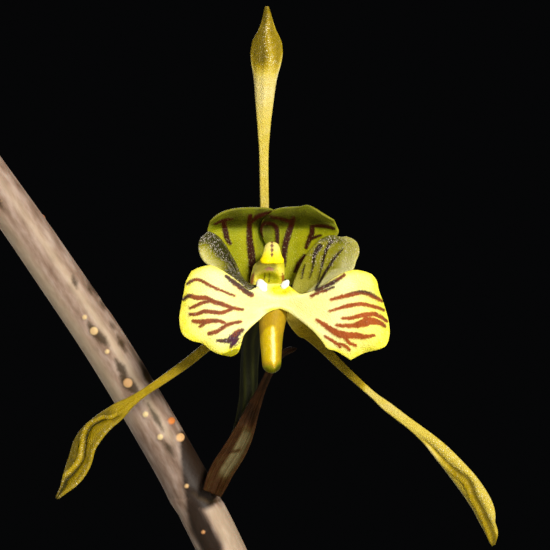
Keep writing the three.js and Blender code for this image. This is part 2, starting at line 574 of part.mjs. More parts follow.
function bractAround(path, length, spread, stalkWide) {
  const whole = path.getLength();
  return blade((s, t) => {
    const u = clamp(1 - (0.2 + s * length) / whole);
    const along = path.getTangentAt(u);
    const down = new THREE.Vector3(0, 0, -1);
    down.sub(along.clone().multiplyScalar(down.dot(along))).normalize();
    const wide = new THREE.Vector3().crossVectors(along, down);
    const angle = (2 * t - 1) * spread * (1 - 0.85 * s * s);
    const away = stalkWide + 0.7 + 1.6 * s * s;
    return path.getPointAt(u).addScaledVector(down, away * Math.cos(angle)).addScaledVector(wide, away * Math.sin(angle));
  }, 5, 3, BLADE);
}

function frontFlower() {
  const group = new THREE.Group();
  group.position.set(...FRONT.at);
  add("front_sepal_dorsal", dorsalSepal(18, 4), sepalOlive, group);
  add("front_sepal_left", sideSepal(LEFT_LINE, LEFT_HALF, 16, 4), sepalOlive, group);
  add("front_sepal_right", sideSepal(RIGHT_LINE, RIGHT_HALF, 16, 4), sepalOlive, group);
  add("front_petal_left", petal(PETAL_LEFT, 8, 7), petalGreen, group);
  add("front_petal_right", petal(PETAL_RIGHT, 8, 7), petalGreen, group);
  add("front_lip", lip(8, 6, 8), lipYellow, group);
  add("front_column", column(6, 10), columnGreen, group);
  add("front_anther_cap", antherCap(), capYellow, group);
  add("front_ovary", stalk(stalkPath(FRONT), 16, 8), stalkGreen, group);
  add("front_bract", frontBract(), bractBrown, group);
  part.add(group);
}

// The other flowers: what is green holds together as one body, and the lip with its spur is a second
function otherFlower(f) {
  const group = new THREE.Group();
  group.position.set(...f.at);
  group.rotation.z = (f.turn * Math.PI) / 180;
  group.scale.setScalar(f.size);
  group.updateMatrix();
  const path = stalkPath(f, group.matrix.clone().invert());
  const core = new THREE.CylinderGeometry(2.2, 2.2, 1.3, 8);
  core.translate(CORE.x, 3.2, CORE.z);
  const green = [stalk(path, 9, 6), core, dorsalSepal(10, 2), sideSepal(LEFT_LINE, LEFT_HALF, 8, 2)];
  green.push(sideSepal(RIGHT_LINE, RIGHT_HALF, 8, 2), petal(PETAL_LEFT, 4, 4), petal(PETAL_RIGHT, 4, 4));
  green.push(column(3, 6));
  const neck = new THREE.CylinderGeometry(0.9, 0.9, 2.4, 6);
  neck.translate(0.15, 2, 0);
  green.push(neck);
  add(f.name + "_flower", joined(green), petalGreen, group);
  add(f.name + "_lip", lip(4, 4, 5, false), lipYellow, group);
  add(f.name + "_bract", bractAround(path, 11, 1.5, 0.75), bractBrown, group);
  part.add(group);
}

// Bud: a closed, pointed flower with its stalk, and its bract below
function bud(b, number) {
  const angle = (b.turn * Math.PI) / 180;
  const out = new THREE.Vector3(Math.cos(angle), Math.sin(angle), 0);
  const shape = (u) => b.radius * Math.sin(Math.PI * Math.min(1, 0.08 + 0.9 * u)) ** 0.75;
  if (b.stalk === 0) {
    const top = stemPath.getPointAt(1);
    const path = new THREE.CatmullRomCurve3([
      top.clone().add(new THREE.Vector3(-0.05, 0, FIT)), top.clone().add(new THREE.Vector3(-0.6, 0, b.length + FIT)),
    ]);
    add("bud_" + number, rod(path, 6, 7, shape), petalGreen);
    return;
  }
  const towards = stemPath.getPointAt(stemAt(b.node)).clone().addScaledVector(out, 20);
  const hold = anchor(b.node, towards, 0.6);
  const knee = hold.point.clone().addScaledVector(hold.out, 0.45 * b.stalk).add(new THREE.Vector3(0, 0, 0.3 * b.stalk));
  const base = hold.point.clone().addScaledVector(hold.out, 0.7 * b.stalk).add(new THREE.Vector3(0, 0, 0.85 * b.stalk));
  const tip = base.clone().addScaledVector(out, 0.45 * b.length).add(new THREE.Vector3(0, 0, 0.89 * b.length));
  const stalkLine = new THREE.CatmullRomCurve3([base.clone().lerp(tip, 0.12), base, knee, hold.point], false, "centripetal");
  const wide = 0.32 * b.radius;
  const head = new THREE.CatmullRomCurve3([base, base.clone().lerp(tip, 0.5), tip]);
  add("bud_" + number, joined([rod(stalkLine, 6, 6, () => wide), rod(head, 6, 8, shape)]), petalGreen);
  add("bud_bract_" + number, bractAround(stalkLine, 0.7 * b.stalk + 1, 1.3, wide), bractBrown);
}

add("pot", pot(), clay);
add("potting_mix", pottingMix(), bark);
BULBS.forEach((b) => add(b.name, bulb(b), bulbGreen));
LEAVES.forEach((l, i) => add("leaf_" + (i + 1), leaf(l), leafGreen));
add("flower_stem", stem(), stemMauve);
frontFlower();
OTHERS.forEach(otherFlower);
BUDS.forEach((b, i) => bud(b, i + 1));

export default part;
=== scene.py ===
# %% [markdown]
# # A potted oeceoclades spathulifera
# A small ground orchid in a clay pot. The lesson builds every visible surface of it as a formula: a blade, a rod or
# a turned wall, each a function of two parameters worked out on a grid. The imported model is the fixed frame, so
# each piece goes where its solid is, in metres, with the origin at the centre of the pot's base.

# %% Load the fixed frame
import math
from functools import partial
import bpy
import numpy as np
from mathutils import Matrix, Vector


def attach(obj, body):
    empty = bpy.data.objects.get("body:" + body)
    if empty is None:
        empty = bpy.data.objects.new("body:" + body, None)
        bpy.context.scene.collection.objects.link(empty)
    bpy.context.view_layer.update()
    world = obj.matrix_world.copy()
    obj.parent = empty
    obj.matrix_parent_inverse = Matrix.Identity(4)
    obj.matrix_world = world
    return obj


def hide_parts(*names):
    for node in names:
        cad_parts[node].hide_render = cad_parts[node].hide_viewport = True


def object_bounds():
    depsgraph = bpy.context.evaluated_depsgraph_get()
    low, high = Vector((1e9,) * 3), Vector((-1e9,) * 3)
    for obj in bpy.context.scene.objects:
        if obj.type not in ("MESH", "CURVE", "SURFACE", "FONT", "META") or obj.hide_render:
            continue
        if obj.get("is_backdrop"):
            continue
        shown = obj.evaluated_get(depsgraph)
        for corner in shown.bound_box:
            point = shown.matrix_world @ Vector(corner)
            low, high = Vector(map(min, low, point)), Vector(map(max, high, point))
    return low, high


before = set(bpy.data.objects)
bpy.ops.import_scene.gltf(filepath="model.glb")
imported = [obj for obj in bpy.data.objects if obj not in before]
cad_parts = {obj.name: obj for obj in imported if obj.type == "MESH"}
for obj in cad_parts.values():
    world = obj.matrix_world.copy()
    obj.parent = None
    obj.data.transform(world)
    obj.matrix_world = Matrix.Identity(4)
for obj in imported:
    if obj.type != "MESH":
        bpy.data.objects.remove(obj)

CAD_BOX = [list(corner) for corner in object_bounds()]
print("solids:", len(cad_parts), "box:", np.round(CAD_BOX, 4).tolist())

# %% [markdown]
# The picture is a close view of one flower from straight in front, so the camera stands level with it, 400 mm away,
# with a long lens that takes in 55 mm. A long lens keeps the parallel look that a close portrait of a flower has.
# A small flower is best lit by one fairly small soft light above the lens, which gives the short shadows under the
# hood and the lip, and by wide weak lights round it, so that the plant reads from every side.

# %% Camera, floor and lights
MM = 0.001
FLOWER = np.array([-14.0, -10.0, 205.0])  # the mouth of the front flower's lip, in mm
AIM = FLOWER + [0.5, 0.0, 1.0]
VIEW_DISTANCE, VIEW_WIDTH = 400.0, 55.0
scene = bpy.context.scene
scene.view_settings.view_transform = "Standard"


def srgb(code):
    """A hex colour turned to linear light: the standard sRGB curve on each channel."""
    part = np.array([int(code[i:i + 2], 16) for i in (1, 3, 5)]) / 255
    line = np.where(part <= 0.04045, part / 12.92, ((part + 0.055) / 1.055) ** 2.4)
    return (*line.tolist(), 1.0)


lens = bpy.data.cameras.new("lens")
lens.sensor_width = 36
lens.lens = 36 * VIEW_DISTANCE / VIEW_WIDTH
lens.clip_start, lens.clip_end = 0.01, 20
camera = bpy.data.objects.new("camera", lens)
camera.location = (AIM + [0, -VIEW_DISTANCE, 0]) * MM
camera.rotation_euler = (math.pi / 2, 0, 0)
scene.collection.objects.link(camera)
scene.camera = camera


def softbox(name, place, size, watts, tint="#ffffff", target=(-14, -10, 200)):
    """A square area light at a place in mm, turned so that it faces its target."""
    lamp = bpy.data.lights.new(name, "AREA")
    lamp.energy, lamp.size, lamp.color = watts, size * MM, srgb(tint)[:3]
    holder = bpy.data.objects.new(name, lamp)
    holder.location = np.array(place, float) * MM
    look = np.array(target, float) - np.array(place, float)
    holder.rotation_euler = (math.acos(-look[2] / np.linalg.norm(look)), 0, math.atan2(look[1], look[0]) - math.pi / 2)
    scene.collection.objects.link(holder)


softbox("key", (380, -860, 620), 220, 15, "#fffaf0")
softbox("glint", (150, -900, 290), 60, 1.2)
softbox("fill_right", (900, -700, 420), 700, 2)
softbox("back", (-300, 1200, 900), 700, 8)
softbox("side_left", (-1200, 100, 500), 700, 3.5)

world = bpy.data.worlds.new("studio")
world.use_nodes = True
world.node_tree.nodes["Background"].inputs["Color"].default_value = srgb("#1c1d1f")
world.node_tree.nodes["Background"].inputs["Strength"].default_value = 0.15
scene.world = world
print("lens", round(lens.lens, 1), "mm at", VIEW_DISTANCE, "mm")

# %% [markdown]
# Each finish below is a shader tree. One small function adds a node, gives it its settings and links it. The finishes
# read attributes that the pieces carry: `lay` holds how far a point lies along and across its blade and how far it is
# from the rim, in millimetres, `mark` the distance to the nearest stripe, `fleck` how much speckle there is and
# `tone` a place on the finish's ramp of colours. A pattern that follows the surface this way bends with the petal.

# %% One helper for shader nodes
def wire(node, links):
    """Links sources to a node's sockets. A node given as a source stands for the first of its live outputs."""
    for name, source in links.items():
        if hasattr(source, "outputs"):
            source = next(socket for socket in source.outputs if socket.enabled)
        node.id_data.links.new(source, node.inputs[name])


def put(tree, kind, links=None, ramp=None, **settings):
    """Adds a shader node: settings fill its properties, or its sockets by name or number, and links feed it."""
    made = tree.nodes.new("ShaderNode" + kind)
    if kind == "Mix":
        made.data_type = "RGBA"
    for name, value in settings.items():
        if hasattr(made, name):
            setattr(made, name, value)
        else:
            value = srgb(value) if isinstance(value, str) else value
            made.inputs[int(name[1:]) if name[1:].isdigit() else name.replace("_", " ")].default_value = value
    if ramp:
        stops = made.color_ramp.elements
        while len(stops) < len(ramp):
            stops.new(0.5)
        for stop, (place, code) in zip(stops, ramp):
            stop.position, stop.color = place, srgb(code)
    wire(made, links or {})
    return made


def finish(name, **surface):
    """A new material with a principled shader. Returns the material, the helper for its tree, and the shader."""
    made = bpy.data.materials.new(name)
    made.use_nodes = True
    shader = made.node_tree.nodes["Principled BSDF"]
    for key, value in surface.items():
        shader.inputs[key.replace("_", " ")].default_value = value
    return made, partial(put, made.node_tree), shader


print("white in linear light:", srgb("#ffffff"), "middle grey:", np.round(srgb("#808080"), 3)[0])

# %% [markdown]
# ## Surfaces as formulas
# Plants grow in smooth curves, so every outline and path here starts as a few points that were measured, in mm. A
# smooth line is drawn through them, and then read at even shares of its length.

# %% Lines and steps
def dense(points):
    """A smooth line through points: each run is the cubic whose end slopes weigh the neighbours by root distance."""
    p = np.asarray(points, float)
    p = np.vstack([2 * p[0] - p[1], p, 2 * p[-1] - p[-2]])
    gap = np.linalg.norm(np.diff(p, axis=0), axis=1) ** 0.5
    t = np.linspace(0, 1, 24, endpoint=False)[:, None]
    runs = []
    for i in range(1, len(p) - 2):
        a, b, c, d = p[i - 1:i + 3]
        g, h, k = gap[i - 1:i + 2]
        m = ((b - a) / g - (c - a) / (g + h) + (c - b) / h) * h
        n = ((c - b) / h - (d - b) / (h + k) + (d - c) / k) * h
        runs.append(b + m * t + (3 * (c - b) - 2 * m - n) * t ** 2 + (2 * (b - c) + m + n) * t ** 3)
    return np.vstack([*runs, p[-2:-1]])


def gone(line):
    """How far each point of a line lies from its start, along it."""
    return np.concatenate([[0], np.cumsum(np.linalg.norm(np.diff(line, axis=0), axis=1))])


def at(line, u):
    """Points of a dense line at shares u of its length."""
    along = gone(line)
    place = np.clip(u, 0, 1) * along[-1]
    return np.stack([np.interp(place, along, line[:, k]) for k in range(line.shape[1])], -1)


def slope(line, u):
    """Unit direction of a dense line at shares u of its length."""
    return unit(at(line, np.asarray(u) + 0.01) - at(line, np.asarray(u) - 0.01))


def smooth(v):
    """The soft step 3v^2 - 2v^3 from zero to one."""
    v = np.clip(v, 0, 1)
    return v * v * (3 - 2 * v)


def spread(n):
    """Grid stops from 0 to 1 that crowd towards both ends, where a blade's rim turns round."""
    even = np.linspace(0, 1, n)
    return 0.55 * (0.5 - 0.5 * np.cos(math.pi * even)) + 0.45 * even


reading = dense([[0, 0], [3, 4], [6, 8]])
print("a line through three points:", len(reading), "points,", round(gone(reading)[-1], 2), "mm")

# %% [markdown]
# A stalk, a spur or a bulb needs directions round a path: where a ring's points lie, and which way a stalk heads. The
# small functions below give them for whole grids at once, so no loop runs over points.

# %% Angles, directions and places
def around(count):
    """Angles in even steps round a full turn."""
    return np.linspace(0, 2 * math.pi, count, endpoint=False)


def unit(v):
    """Vectors divided by their length."""
    return v / np.maximum(np.linalg.norm(v, axis=-1, keepdims=True), 1e-9)


def heading(degrees):
    """The level direction at an angle from the x axis."""
    return np.array([math.cos(math.radians(degrees)), math.sin(math.radians(degrees)), 0])


def cast(*parts):
    """Numbers, rows and columns spread over one grid and stacked as its vectors."""
    return np.stack(np.broadcast_arrays(*parts), -1)


def off_path(centre, one, other, across, out):
    """Points off a path: its centre, plus across along one side direction and out along the other."""
    return centre[:, None] + one[:, None] * across[..., None] + other[:, None] * out[..., None]


print("headings of 0 and 90 degrees:", heading(0).round(2), heading(90).round(2))

# %% [markdown]
# A piece is a closed skin with its faces outward. The faces are the cells of a grid, and the volume that they enclose
# tells whether they point out. What a finish needs to know of a place is kept with the points as named fields.

# %% From points to a piece
def quads(rows, columns, wrap=False):
    """Corner numbers of the cells of a grid of points, rows first; wrap joins its last column to its first."""
    grid = np.arange(rows * columns).reshape(rows, columns)
    if wrap:
        grid = np.hstack([grid, grid[:, :1]])
    return np.stack([grid[:-1, :-1], grid[:-1, 1:], grid[1:, 1:], grid[1:, :-1]], -1).reshape(-1, 4)


def volume(points, faces):
    """Six times the volume inside faces: the sum of a . (b x c) over their triangles. Its sign tells in from out."""
    corner = [points[faces[:, k]] for k in range(faces.shape[1])]
    return sum(np.einsum("ij,ij->", corner[0], np.cross(b, c)) for b, c in zip(corner[1:], corner[2:]))


MADE = []
FAR = 9.0  # mm, a distance to a stripe or spot that stands for none near


def piece(name, points, faces, skin, nodes=(), slot=None, caps=None, **fields):
    """Puts points in mm and faces into a mesh, with its fields as point attributes, and rides it on the pot."""
    caps = np.zeros((0, 3), int) if caps is None else caps
    if volume(points, faces) + volume(points, caps) < 0:
        faces, caps = faces[:, ::-1], caps[:, ::-1]
    mesh = bpy.data.meshes.new(name)
    corners = np.concatenate([faces.ravel(), caps.ravel()])
    sizes = np.concatenate([np.full(len(faces), faces.shape[1]), np.full(len(caps), 3)])
    mesh.vertices.add(len(points))
    mesh.vertices.foreach_set("co", (points * MM).astype(np.float32).ravel())
    mesh.loops.add(len(corners))
    mesh.loops.foreach_set("vertex_index", corners.astype(np.int32))
    mesh.polygons.add(len(sizes))
    mesh.polygons.foreach_set("loop_start", np.concatenate([[0], np.cumsum(sizes)[:-1]]).astype(np.int32))
    mesh.polygons.foreach_set("loop_total", sizes.astype(np.int32))
    mesh.update(calc_edges=True)
    mesh.shade_smooth()
    for key, value in fields.items():
        flat = np.asarray(value, np.float32).reshape(len(points), -1)
        kind = "FLOAT" if flat.shape[1] == 1 else "FLOAT_VECTOR"
        layer = mesh.attributes.new(key, kind, "POINT")
        layer.data.foreach_set("value" if kind == "FLOAT" else "vector", flat.ravel())
    mesh.materials.append(skin)
    made = bpy.data.objects.new(name, mesh)
    scene.collection.objects.link(made)
    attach(made, "root")
    if nodes:
        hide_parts(*nodes)
    MADE.append((name, len(faces) * (faces.shape[1] - 2) + len(caps)))
    return made


print("a grid of 3 by 4 points has", len(quads(3, 4)), "cells, or", len(quads(3, 4, True)), "when it closes on itself")

# %% [markdown]
# A petal, sepal, bract or leaf is a thin blade. Its middle surface is a function of two parameters, and both faces
# stand off it by half the thickness along the normal. The thickness fades towards the rim, so the edge is rounded.
# Stalks, the spur, the stem and the bulbs are tubes: rings of points carried along a path, with both ends closed.

# %% Blades and tubes
def two_faced(middle, thick):
    """Both faces of a blade: its middle surface moved half its thickness each way along the normal, and its walls."""
    rows, columns = middle.shape[:2]
    normal = unit(np.cross(np.gradient(middle, axis=0), np.gradient(middle, axis=1)))
    front, back = middle + normal * thick[..., None] / 2, middle - normal * thick[..., None] / 2
    grid = quads(rows, columns)
    other = rows * columns
    index = np.arange(other).reshape(rows, columns)
    rim = np.concatenate([index[0, :-1], index[:-1, -1], index[-1, :0:-1], index[:0:-1, 0]])
    after = np.roll(rim, -1)
    walls = np.stack([after, rim, rim + other, after + other], -1)
    faces = np.vstack([grid, grid[:, ::-1] + other, walls])
    return np.vstack([front.reshape(-1, 3), back.reshape(-1, 3)]), faces


def per_point(value, rows, columns):
    """A field spread over a grid: one number, a row, a column, or a full grid of numbers or of vectors."""
    value = np.asarray(value, float)
    whole = value if value.ndim == 3 else np.broadcast_to(value, (rows, columns))[..., None]
    return whole.reshape(rows * columns, -1)


def blade(name, middle, thick, skin, place=None, nodes=(), slot=None, **kept):
    """A blade from the grid of its middle surface. Fields are given for the grid and repeated on the back face."""
    points, faces = two_faced(middle, thick)
    kept.setdefault("lay", reach(middle))
    fields = {key: np.concatenate([per_point(v, *middle.shape[:2])] * 2) for key, v in kept.items()}
    fields["face"] = np.concatenate([np.ones(len(points) // 2), np.zeros(len(points) // 2)])
    return piece(name, place(points) if place else points, faces, skin, nodes, slot, **fields)


def tube(name, rings, skin, place=None, nodes=(), slot=None, **kept):
    """A closed body through rings of points, with a middle point closing each end."""
    rows, sides = rings.shape[:2]
    points = np.vstack([rings.reshape(-1, 3), rings[0].mean(0), rings[-1].mean(0)])
    first, ring = rows * sides, np.arange(sides)
    start = np.stack([np.full(sides, first), np.roll(ring, -1), ring], -1)
    last = np.stack([np.full(sides, first + 1), ring + first - sides, np.roll(ring, -1) + first - sides], -1)
    fields = {}
    for key, v in kept.items():
        v = per_point(v, rows, sides)
        fields[key] = np.vstack([v, v[:sides].mean(0), v[-sides:].mean(0)])
    return piece(name, place(points) if place else points, quads(rows, sides, True), skin, nodes, slot,
                 caps=np.vstack([start, last]), **fields)


print("fields for a grid of 3 by 4:", per_point(0.5, 3, 4).shape, per_point(np.ones((3, 4, 3)), 3, 4).shape)

# %% [markdown]
# Three ways to shape a middle surface or a rod cover the whole plant: rings round a curve, a ribbon along one, and a
# sheet stretched between four outlines. Coloured stripes are strokes: the mesh carries the distance to the nearest.

# %% Rings, ribbons, patches and strokes
def rings_along(line, u, sides, wide, deep=None, side=(1, 0, 0)):
    """Rings across a line: a circle of radius wide, or an ellipse when deep differs, turned to face along it."""
    centre, along = at(line, u), slope(line, u)
    across = unit(np.asarray(side, float) - along * (along @ np.asarray(side, float))[:, None])
    other = np.cross(along, across)
    turn = around(sides)
    wide = np.asarray(wide) * np.ones(len(u))
    deep = wide if deep is None else np.asarray(deep) * np.ones(len(u))
    return off_path(centre, across, other, wide[:, None] * np.cos(turn), deep[:, None] * np.sin(turn))


def ribbon(points, s, t, side, half, bow):
    """A surface along a curve: across it by the half width, and off it by a bow that depends on the place."""
    line = dense(points)
    centre, along = at(line, s), slope(line, s)
    side = np.asarray(side, float) * np.ones((len(s), 1))
    wide = unit(side - along * np.einsum("ij,ij->i", side, along)[:, None])
    out = np.cross(wide, along)
    across = (2 * t - 1)[None, :]
    return off_path(centre, wide, out, half[:, None] * across, bow(s[:, None], across))


def patch(edges, s, t):
    """A flat surface stretched between four lines: the sum of the two ways across, less the corners' share."""
    low, high = (at(dense(edges[k]), s)[:, None] for k in ("low", "high"))
    root, margin = (at(dense(edges[k]), t)[None] for k in ("root", "margin"))
    a, b = s[:, None, None], t[None, :, None]
    corners = (1 - a) * ((1 - b) * low[0] + b * high[0]) + a * ((1 - b) * low[-1] + b * high[-1])
    return (1 - b) * low + b * high + (1 - a) * root + a * margin - corners


def reach(middle):
    """How far each point lies along and across the grid, and from the nearest rim but the root's, in mm."""
    down = np.linalg.norm(np.diff(middle, axis=0), axis=-1)
    over = np.linalg.norm(np.diff(middle, axis=1), axis=-1)
    along = np.vstack([np.zeros((1, middle.shape[1])), np.cumsum(down, 0)])
    across = np.hstack([np.zeros((middle.shape[0], 1)), np.cumsum(over, 1)])
    rim = np.minimum(np.minimum(across, across[:, -1:] - across), along[-1:] - along)
    return np.stack([along, across - across[:, -1:] / 2, rim], -1)


def thickness(s, t, most, least, power=6):
    """Even in the middle of the blade and falling to the least at its rim, as an eighth of a flattened egg does."""
    rim = 1 - np.abs(2 * t[None, :] - 1) ** power
    tip = 1 - np.maximum(0, 2 * s[:, None] - 1) ** (2 * power)
    return least + (most - least) * np.sqrt(np.clip(rim * tip, 0, 1))


def to_strokes(x, z, strokes):
    """Signed distance in mm to the nearest stroke: to its line, less its half width there."""
    nearest = np.full(x.shape, FAR)
    for widths, points in strokes:
        line = dense(points)[::6]
        w = np.interp(np.linspace(0, 1, len(line)), np.linspace(0, 1, len(widths)), widths) / 2
        for (a, b), (v, u) in zip(zip(line[:-1], line[1:]), zip(w[:-1], w[1:])):
            run = b - a
            share = np.clip(((x - a[0]) * run[0] + (z - a[1]) * run[1]) / (run @ run), 0, 1)
            away = np.hypot(x - a[0] - share * run[0], z - a[1] - share * run[1])
            nearest = np.minimum(nearest, away - (v + (u - v) * share))
    return nearest


print("a rod's first ring:", rings_along(reading @ np.eye(2, 3), np.linspace(0, 1, 2), 4, 1.0)[0].round(2).tolist())

# %% [markdown]
# ## The finish of living petals
# Orchid petals are thin, juicy tissue under a skin of rounded cells, each a small lens. Their fine sparkle is
# painted: pale highlight points put into the colour. Light that spreads inside gives a soft glow, and pigment
# follows the veins with frayed edges. One finish with its colours as settings serves sepals, petals and lip,
# because on the real flower they are the same tissue.

# %% Petal tissue
def tissue(name, ramp, rim="#8a6a1c", rim_wide=0.3, rim_most=0.6, cell=0.32, stripe="#8e3b1c", dusk="#3a1420",
           speck="#43203a", rough=0.4, glow=0.22, relief=0.35, shine=0.5, glint="#f2ecc0", ink=0.95):
    """Fleshy cells: colour by tone with clouds, a rim colour, stripes where mark is below zero, specks, and on a
    share of the cells, set by an attribute, a painted highlight: a pale point that stands for the lamp on wet cells."""
    skin, add, shader = finish(name, Roughness=rough, Subsurface_Weight=glow, Subsurface_Scale=0.0006,
                                Specular_IOR_Level=shine)
    lay = add("Attribute", attribute_name="lay").outputs["Vector"]
    tone, mark, dark, fleck, gleam = (add("Attribute", attribute_name=key).outputs["Fac"]
                                      for key in ("tone", "mark", "dark", "fleck", "gleam"))
    cloud = add("TexNoise", {"Vector": lay}, Scale=1.3, Detail=5.0, Roughness=0.62)
    grain = add("TexNoise", {"Vector": lay}, Scale=1.1 / cell, Detail=3.0)
    cells = add("TexVoronoi", {"Vector": lay}, Scale=1 / cell)
    place = add("Math", {0: cloud, 2: tone}, operation="MULTIPLY_ADD", _1=0.3)
    place = add("Math", {0: grain, 2: place}, operation="MULTIPLY_ADD", _1=0.16)
    place = add("Math", {0: place}, operation="SUBTRACT", _1=0.23)
    flesh = add("ValToRGB", {"Fac": place}, ramp=ramp)
    depth = add("SeparateXYZ", {0: lay})
    edge = add("MapRange", {"Value": depth.outputs["Z"]}, interpolation_type="SMOOTHSTEP",
               From_Min=0.0, From_Max=rim_wide, To_Min=rim_most, To_Max=0)
    body = add("Mix", {0: edge, 6: flesh}, _7=rim)
    frayed = add("Math", {0: grain, 2: mark}, operation="MULTIPLY_ADD", _1=0.22)
    inked = add("MapRange", {"Value": frayed}, interpolation_type="SMOOTHSTEP",
                From_Min=0.2, From_Max=0.03, To_Max=ink)
    waver = add("Math", {0: cloud, 2: dark}, operation="MULTIPLY_ADD", _1=1.2)
    waver = add("Math", {0: waver}, operation="SUBTRACT", use_clamp=True, _1=0.55)
    inks = add("Mix", {0: waver}, _6=stripe, _7=dusk)
    striped = add("Mix", {0: inked, 6: body, 7: inks})
    reach_of = add("Math", {0: fleck, 1: cloud}, operation="MULTIPLY")
    dots = add("Math", {0: reach_of, 1: cells}, operation="SUBTRACT")
    dotted = add("MapRange", {"Value": dots}, From_Max=0.12, To_Max=0.85)
    full = add("Mix", {0: dotted, 6: striped}, _7=speck)
    # Painted highlight: on a share of the cells the glint colour is mixed into the base colour as a pale point.
    chance = add("SeparateColor", {0: cells.outputs["Color"]})
    lucky = add("Math", {0: gleam, 1: chance.outputs["Red"]}, operation="SUBTRACT")
    core = add("MapRange", {"Value": cells}, From_Min=0.5, From_Max=0.05, To_Max=2.6)
    painted_glint_weight = add("Math", {0: lucky, 1: core}, operation="MULTIPLY", use_clamp=True)
    with_painted_glints = add("Mix", {0: painted_glint_weight, 6: full}, _7=glint)
    bump = add("Bump", {"Height": cells}, Strength=relief, Distance=0.0001, invert=True)
    wire(shader, {"Base Color": with_painted_glints, "Normal": bump})
    return skin


# Each finish's glint colour is the colour of its painted highlights.
sepal_skin = tissue("sepal_tissue", [(0, "#cabd86"), (0.25, "#c2ae44"), (0.5, "#9c840a"), (0.75, "#6b5a04"),
                                     (1, "#2e2802")],
                    rim="#8e7a1c", rim_wide=0.16, rim_most=0.3, cell=0.14, rough=0.4, relief=0.8, glow=0.03, shine=0.12,
                    glint="#e8dcb0")
petal_skin = tissue("petal_tissue", [(0, "#201e02"), (0.3, "#474806"), (0.6, "#6e7406"), (1, "#97960a")],
                    rim="#8e8c24", rim_wide=0.14, cell=0.13, stripe="#340e04", dusk="#200806", glow=0.03, relief=0.5,
                    shine=0.08, glint="#dcd68a", ink=0.99)
lip_skin = tissue("lip_tissue", [(0, "#ece48c"), (0.3, "#eeeaa2"), (0.55, "#ece47c"), (0.8, "#e0d650"),
                                 (0.9, "#d6ce18"), (1, "#8e8806")],
                  rim="#dcc820", rim_wide=0.2, rim_most=0.25, cell=0.2, stripe="#963804", dusk="#34091a", rough=0.5,
                  glow=0.05, relief=0.5, shine=0.08, glint="#fffbe0", ink=0.96)
ear_skin = tissue("ear_tissue", [(0, "#121204"), (0.25, "#3c3c06"), (0.5, "#7e7a06"), (0.8, "#a8a24c"), (1, "#c4bf80")],
                  rim="#a8a058", rim_wide=0.12, rim_most=0.15, cell=0.13, stripe="#220a06", dusk="#1c080c", rough=0.36,
                  glow=0.03, relief=0.7, shine=0.1, speck="#1e0c14", glint="#e2d6c8", ink=0.98)
# The palest stop is the spur's painted highlight and the ochre stop the lip's painted shade on its top.
spur_skin = tissue("spur_tissue", [(0, "#e2d890"), (0.28, "#c2a608"), (0.52, "#a08018"), (0.76, "#7e7a08"),
                                   (1, "#444404")],
                   rim_most=0.0, cell=0.16, rough=0.42, relief=0.3, glow=0.04, shine=0.06, glint="#fbf6c0")
callus_skin = tissue("callus_tissue", [(0, "#fffff4"), (1, "#f4f0c0")], rim_most=0.0, rough=0.5)
column_skin = tissue("column_tissue", [(0, "#3c4a06"), (0.35, "#7c8008"), (0.7, "#b8b00c"), (1, "#dccf52")],
                     rim_most=0.0, cell=0.18, stripe="#8a4210", dusk="#4a3404", rough=0.4, glow=0.06,
                     shine=0.15, speck="#e0a088", ink=0.9)
cap_skin = tissue("anther_cap_tissue", [(0, "#e8d000"), (0.5, "#e6d83c"), (1, "#d2c468")],
                  rim_most=0.0, cell=0.2, stripe="#6a3c2c", dusk="#5a2818", rough=0.45, glow=0.06, shine=0.15)
print("petal finishes ready")

# %% [markdown]
# ## The sepals
# Three narrow claws that widen into keeled, pointed limbs like small spoons. Each is a ribbon along a curve: the
# width comes from a few measured half widths, the section is a boat as deep as a share of that width, and a fine
# midrib stands out along the keel. The sepals stand behind the lip, so the side pair pass under its edge.

# %% Profiles and the three sepals
def profile(pairs, u):
    """A value along a piece, read from a smooth line through [place, value] pairs."""
    line = dense(pairs)
    return np.interp(u, line[:, 0], line[:, 1])


def ridge(v, wide):
    """A rounded ridge: one at zero and fading within its width on both sides."""
    return np.exp(-(v / wide) ** 2)


# Lines are points in the flower's own frame, half widths are [share of the length, mm], folds [share, across].
DORSAL_LINE = [[0.03, 3.5, 0.45], [0, 3.55, 1.15], [-0.45, 3.6, 5], [-0.58, 3.6, 9], [-0.62, 3.7, 15.5],
               [-0.5, 3.9, 20.5], [-0.33, 3.9, 24], [-0.28, 3.7, 26.3], [-0.32, 3.3, 28.1]]
DORSAL_HALF = [[0, 0.46], [0.45, 0.47], [0.53, 0.6], [0.61, 0.75], [0.7, 0.98], [0.75, 1.2], [0.79, 1.45],
               [0.83, 1.58], [0.86, 1.5], [0.885, 1.25], [0.91, 0.85], [0.94, 0.56], [0.97, 0.32], [1, 0.12]]
LEFT_LINE = [[-1.35, 3.4, -1.55], [-3.8, 3.3, -3.9], [-6.35, 3, -6.2], [-8.65, 2.7, -8.05], [-10.7, 2.4, -9.5],
             [-13.5, 2.2, -11.4], [-15.4, 2.3, -12.8], [-17.3, 2.5, -14.4], [-18.5, 2.6, -16.1], [-19, 2.3, -17.8],
             [-19.9, 1.7, -19.6], [-21.4, 1.2, -21.4]]
LEFT_HALF = [[0, 0.5], [0.33, 0.475], [0.5, 0.4], [0.565, 0.55], [0.607, 0.78], [0.68, 0.95], [0.755, 1.18],
             [0.84, 1.24], [0.89, 1.12], [0.93, 0.8], [0.965, 0.42], [1, 0.12]]
RIGHT_LINE = [[1.5, 3.4, -1.5], [3.1, 3.4, -4.1], [5.2, 3.3, -6.2], [8.05, 3.1, -9], [11.1, 2.9, -11.7],
              [13.1, 2.8, -13.25], [15.1, 2.7, -14.8], [17.1, 2.6, -16.7], [19.1, 2.5, -19.1], [20.2, 2.3, -20.6],
              [21.2, 1.9, -22.3], [21.9, 1.5, -24.3], [22.4, 1, -26.1]]
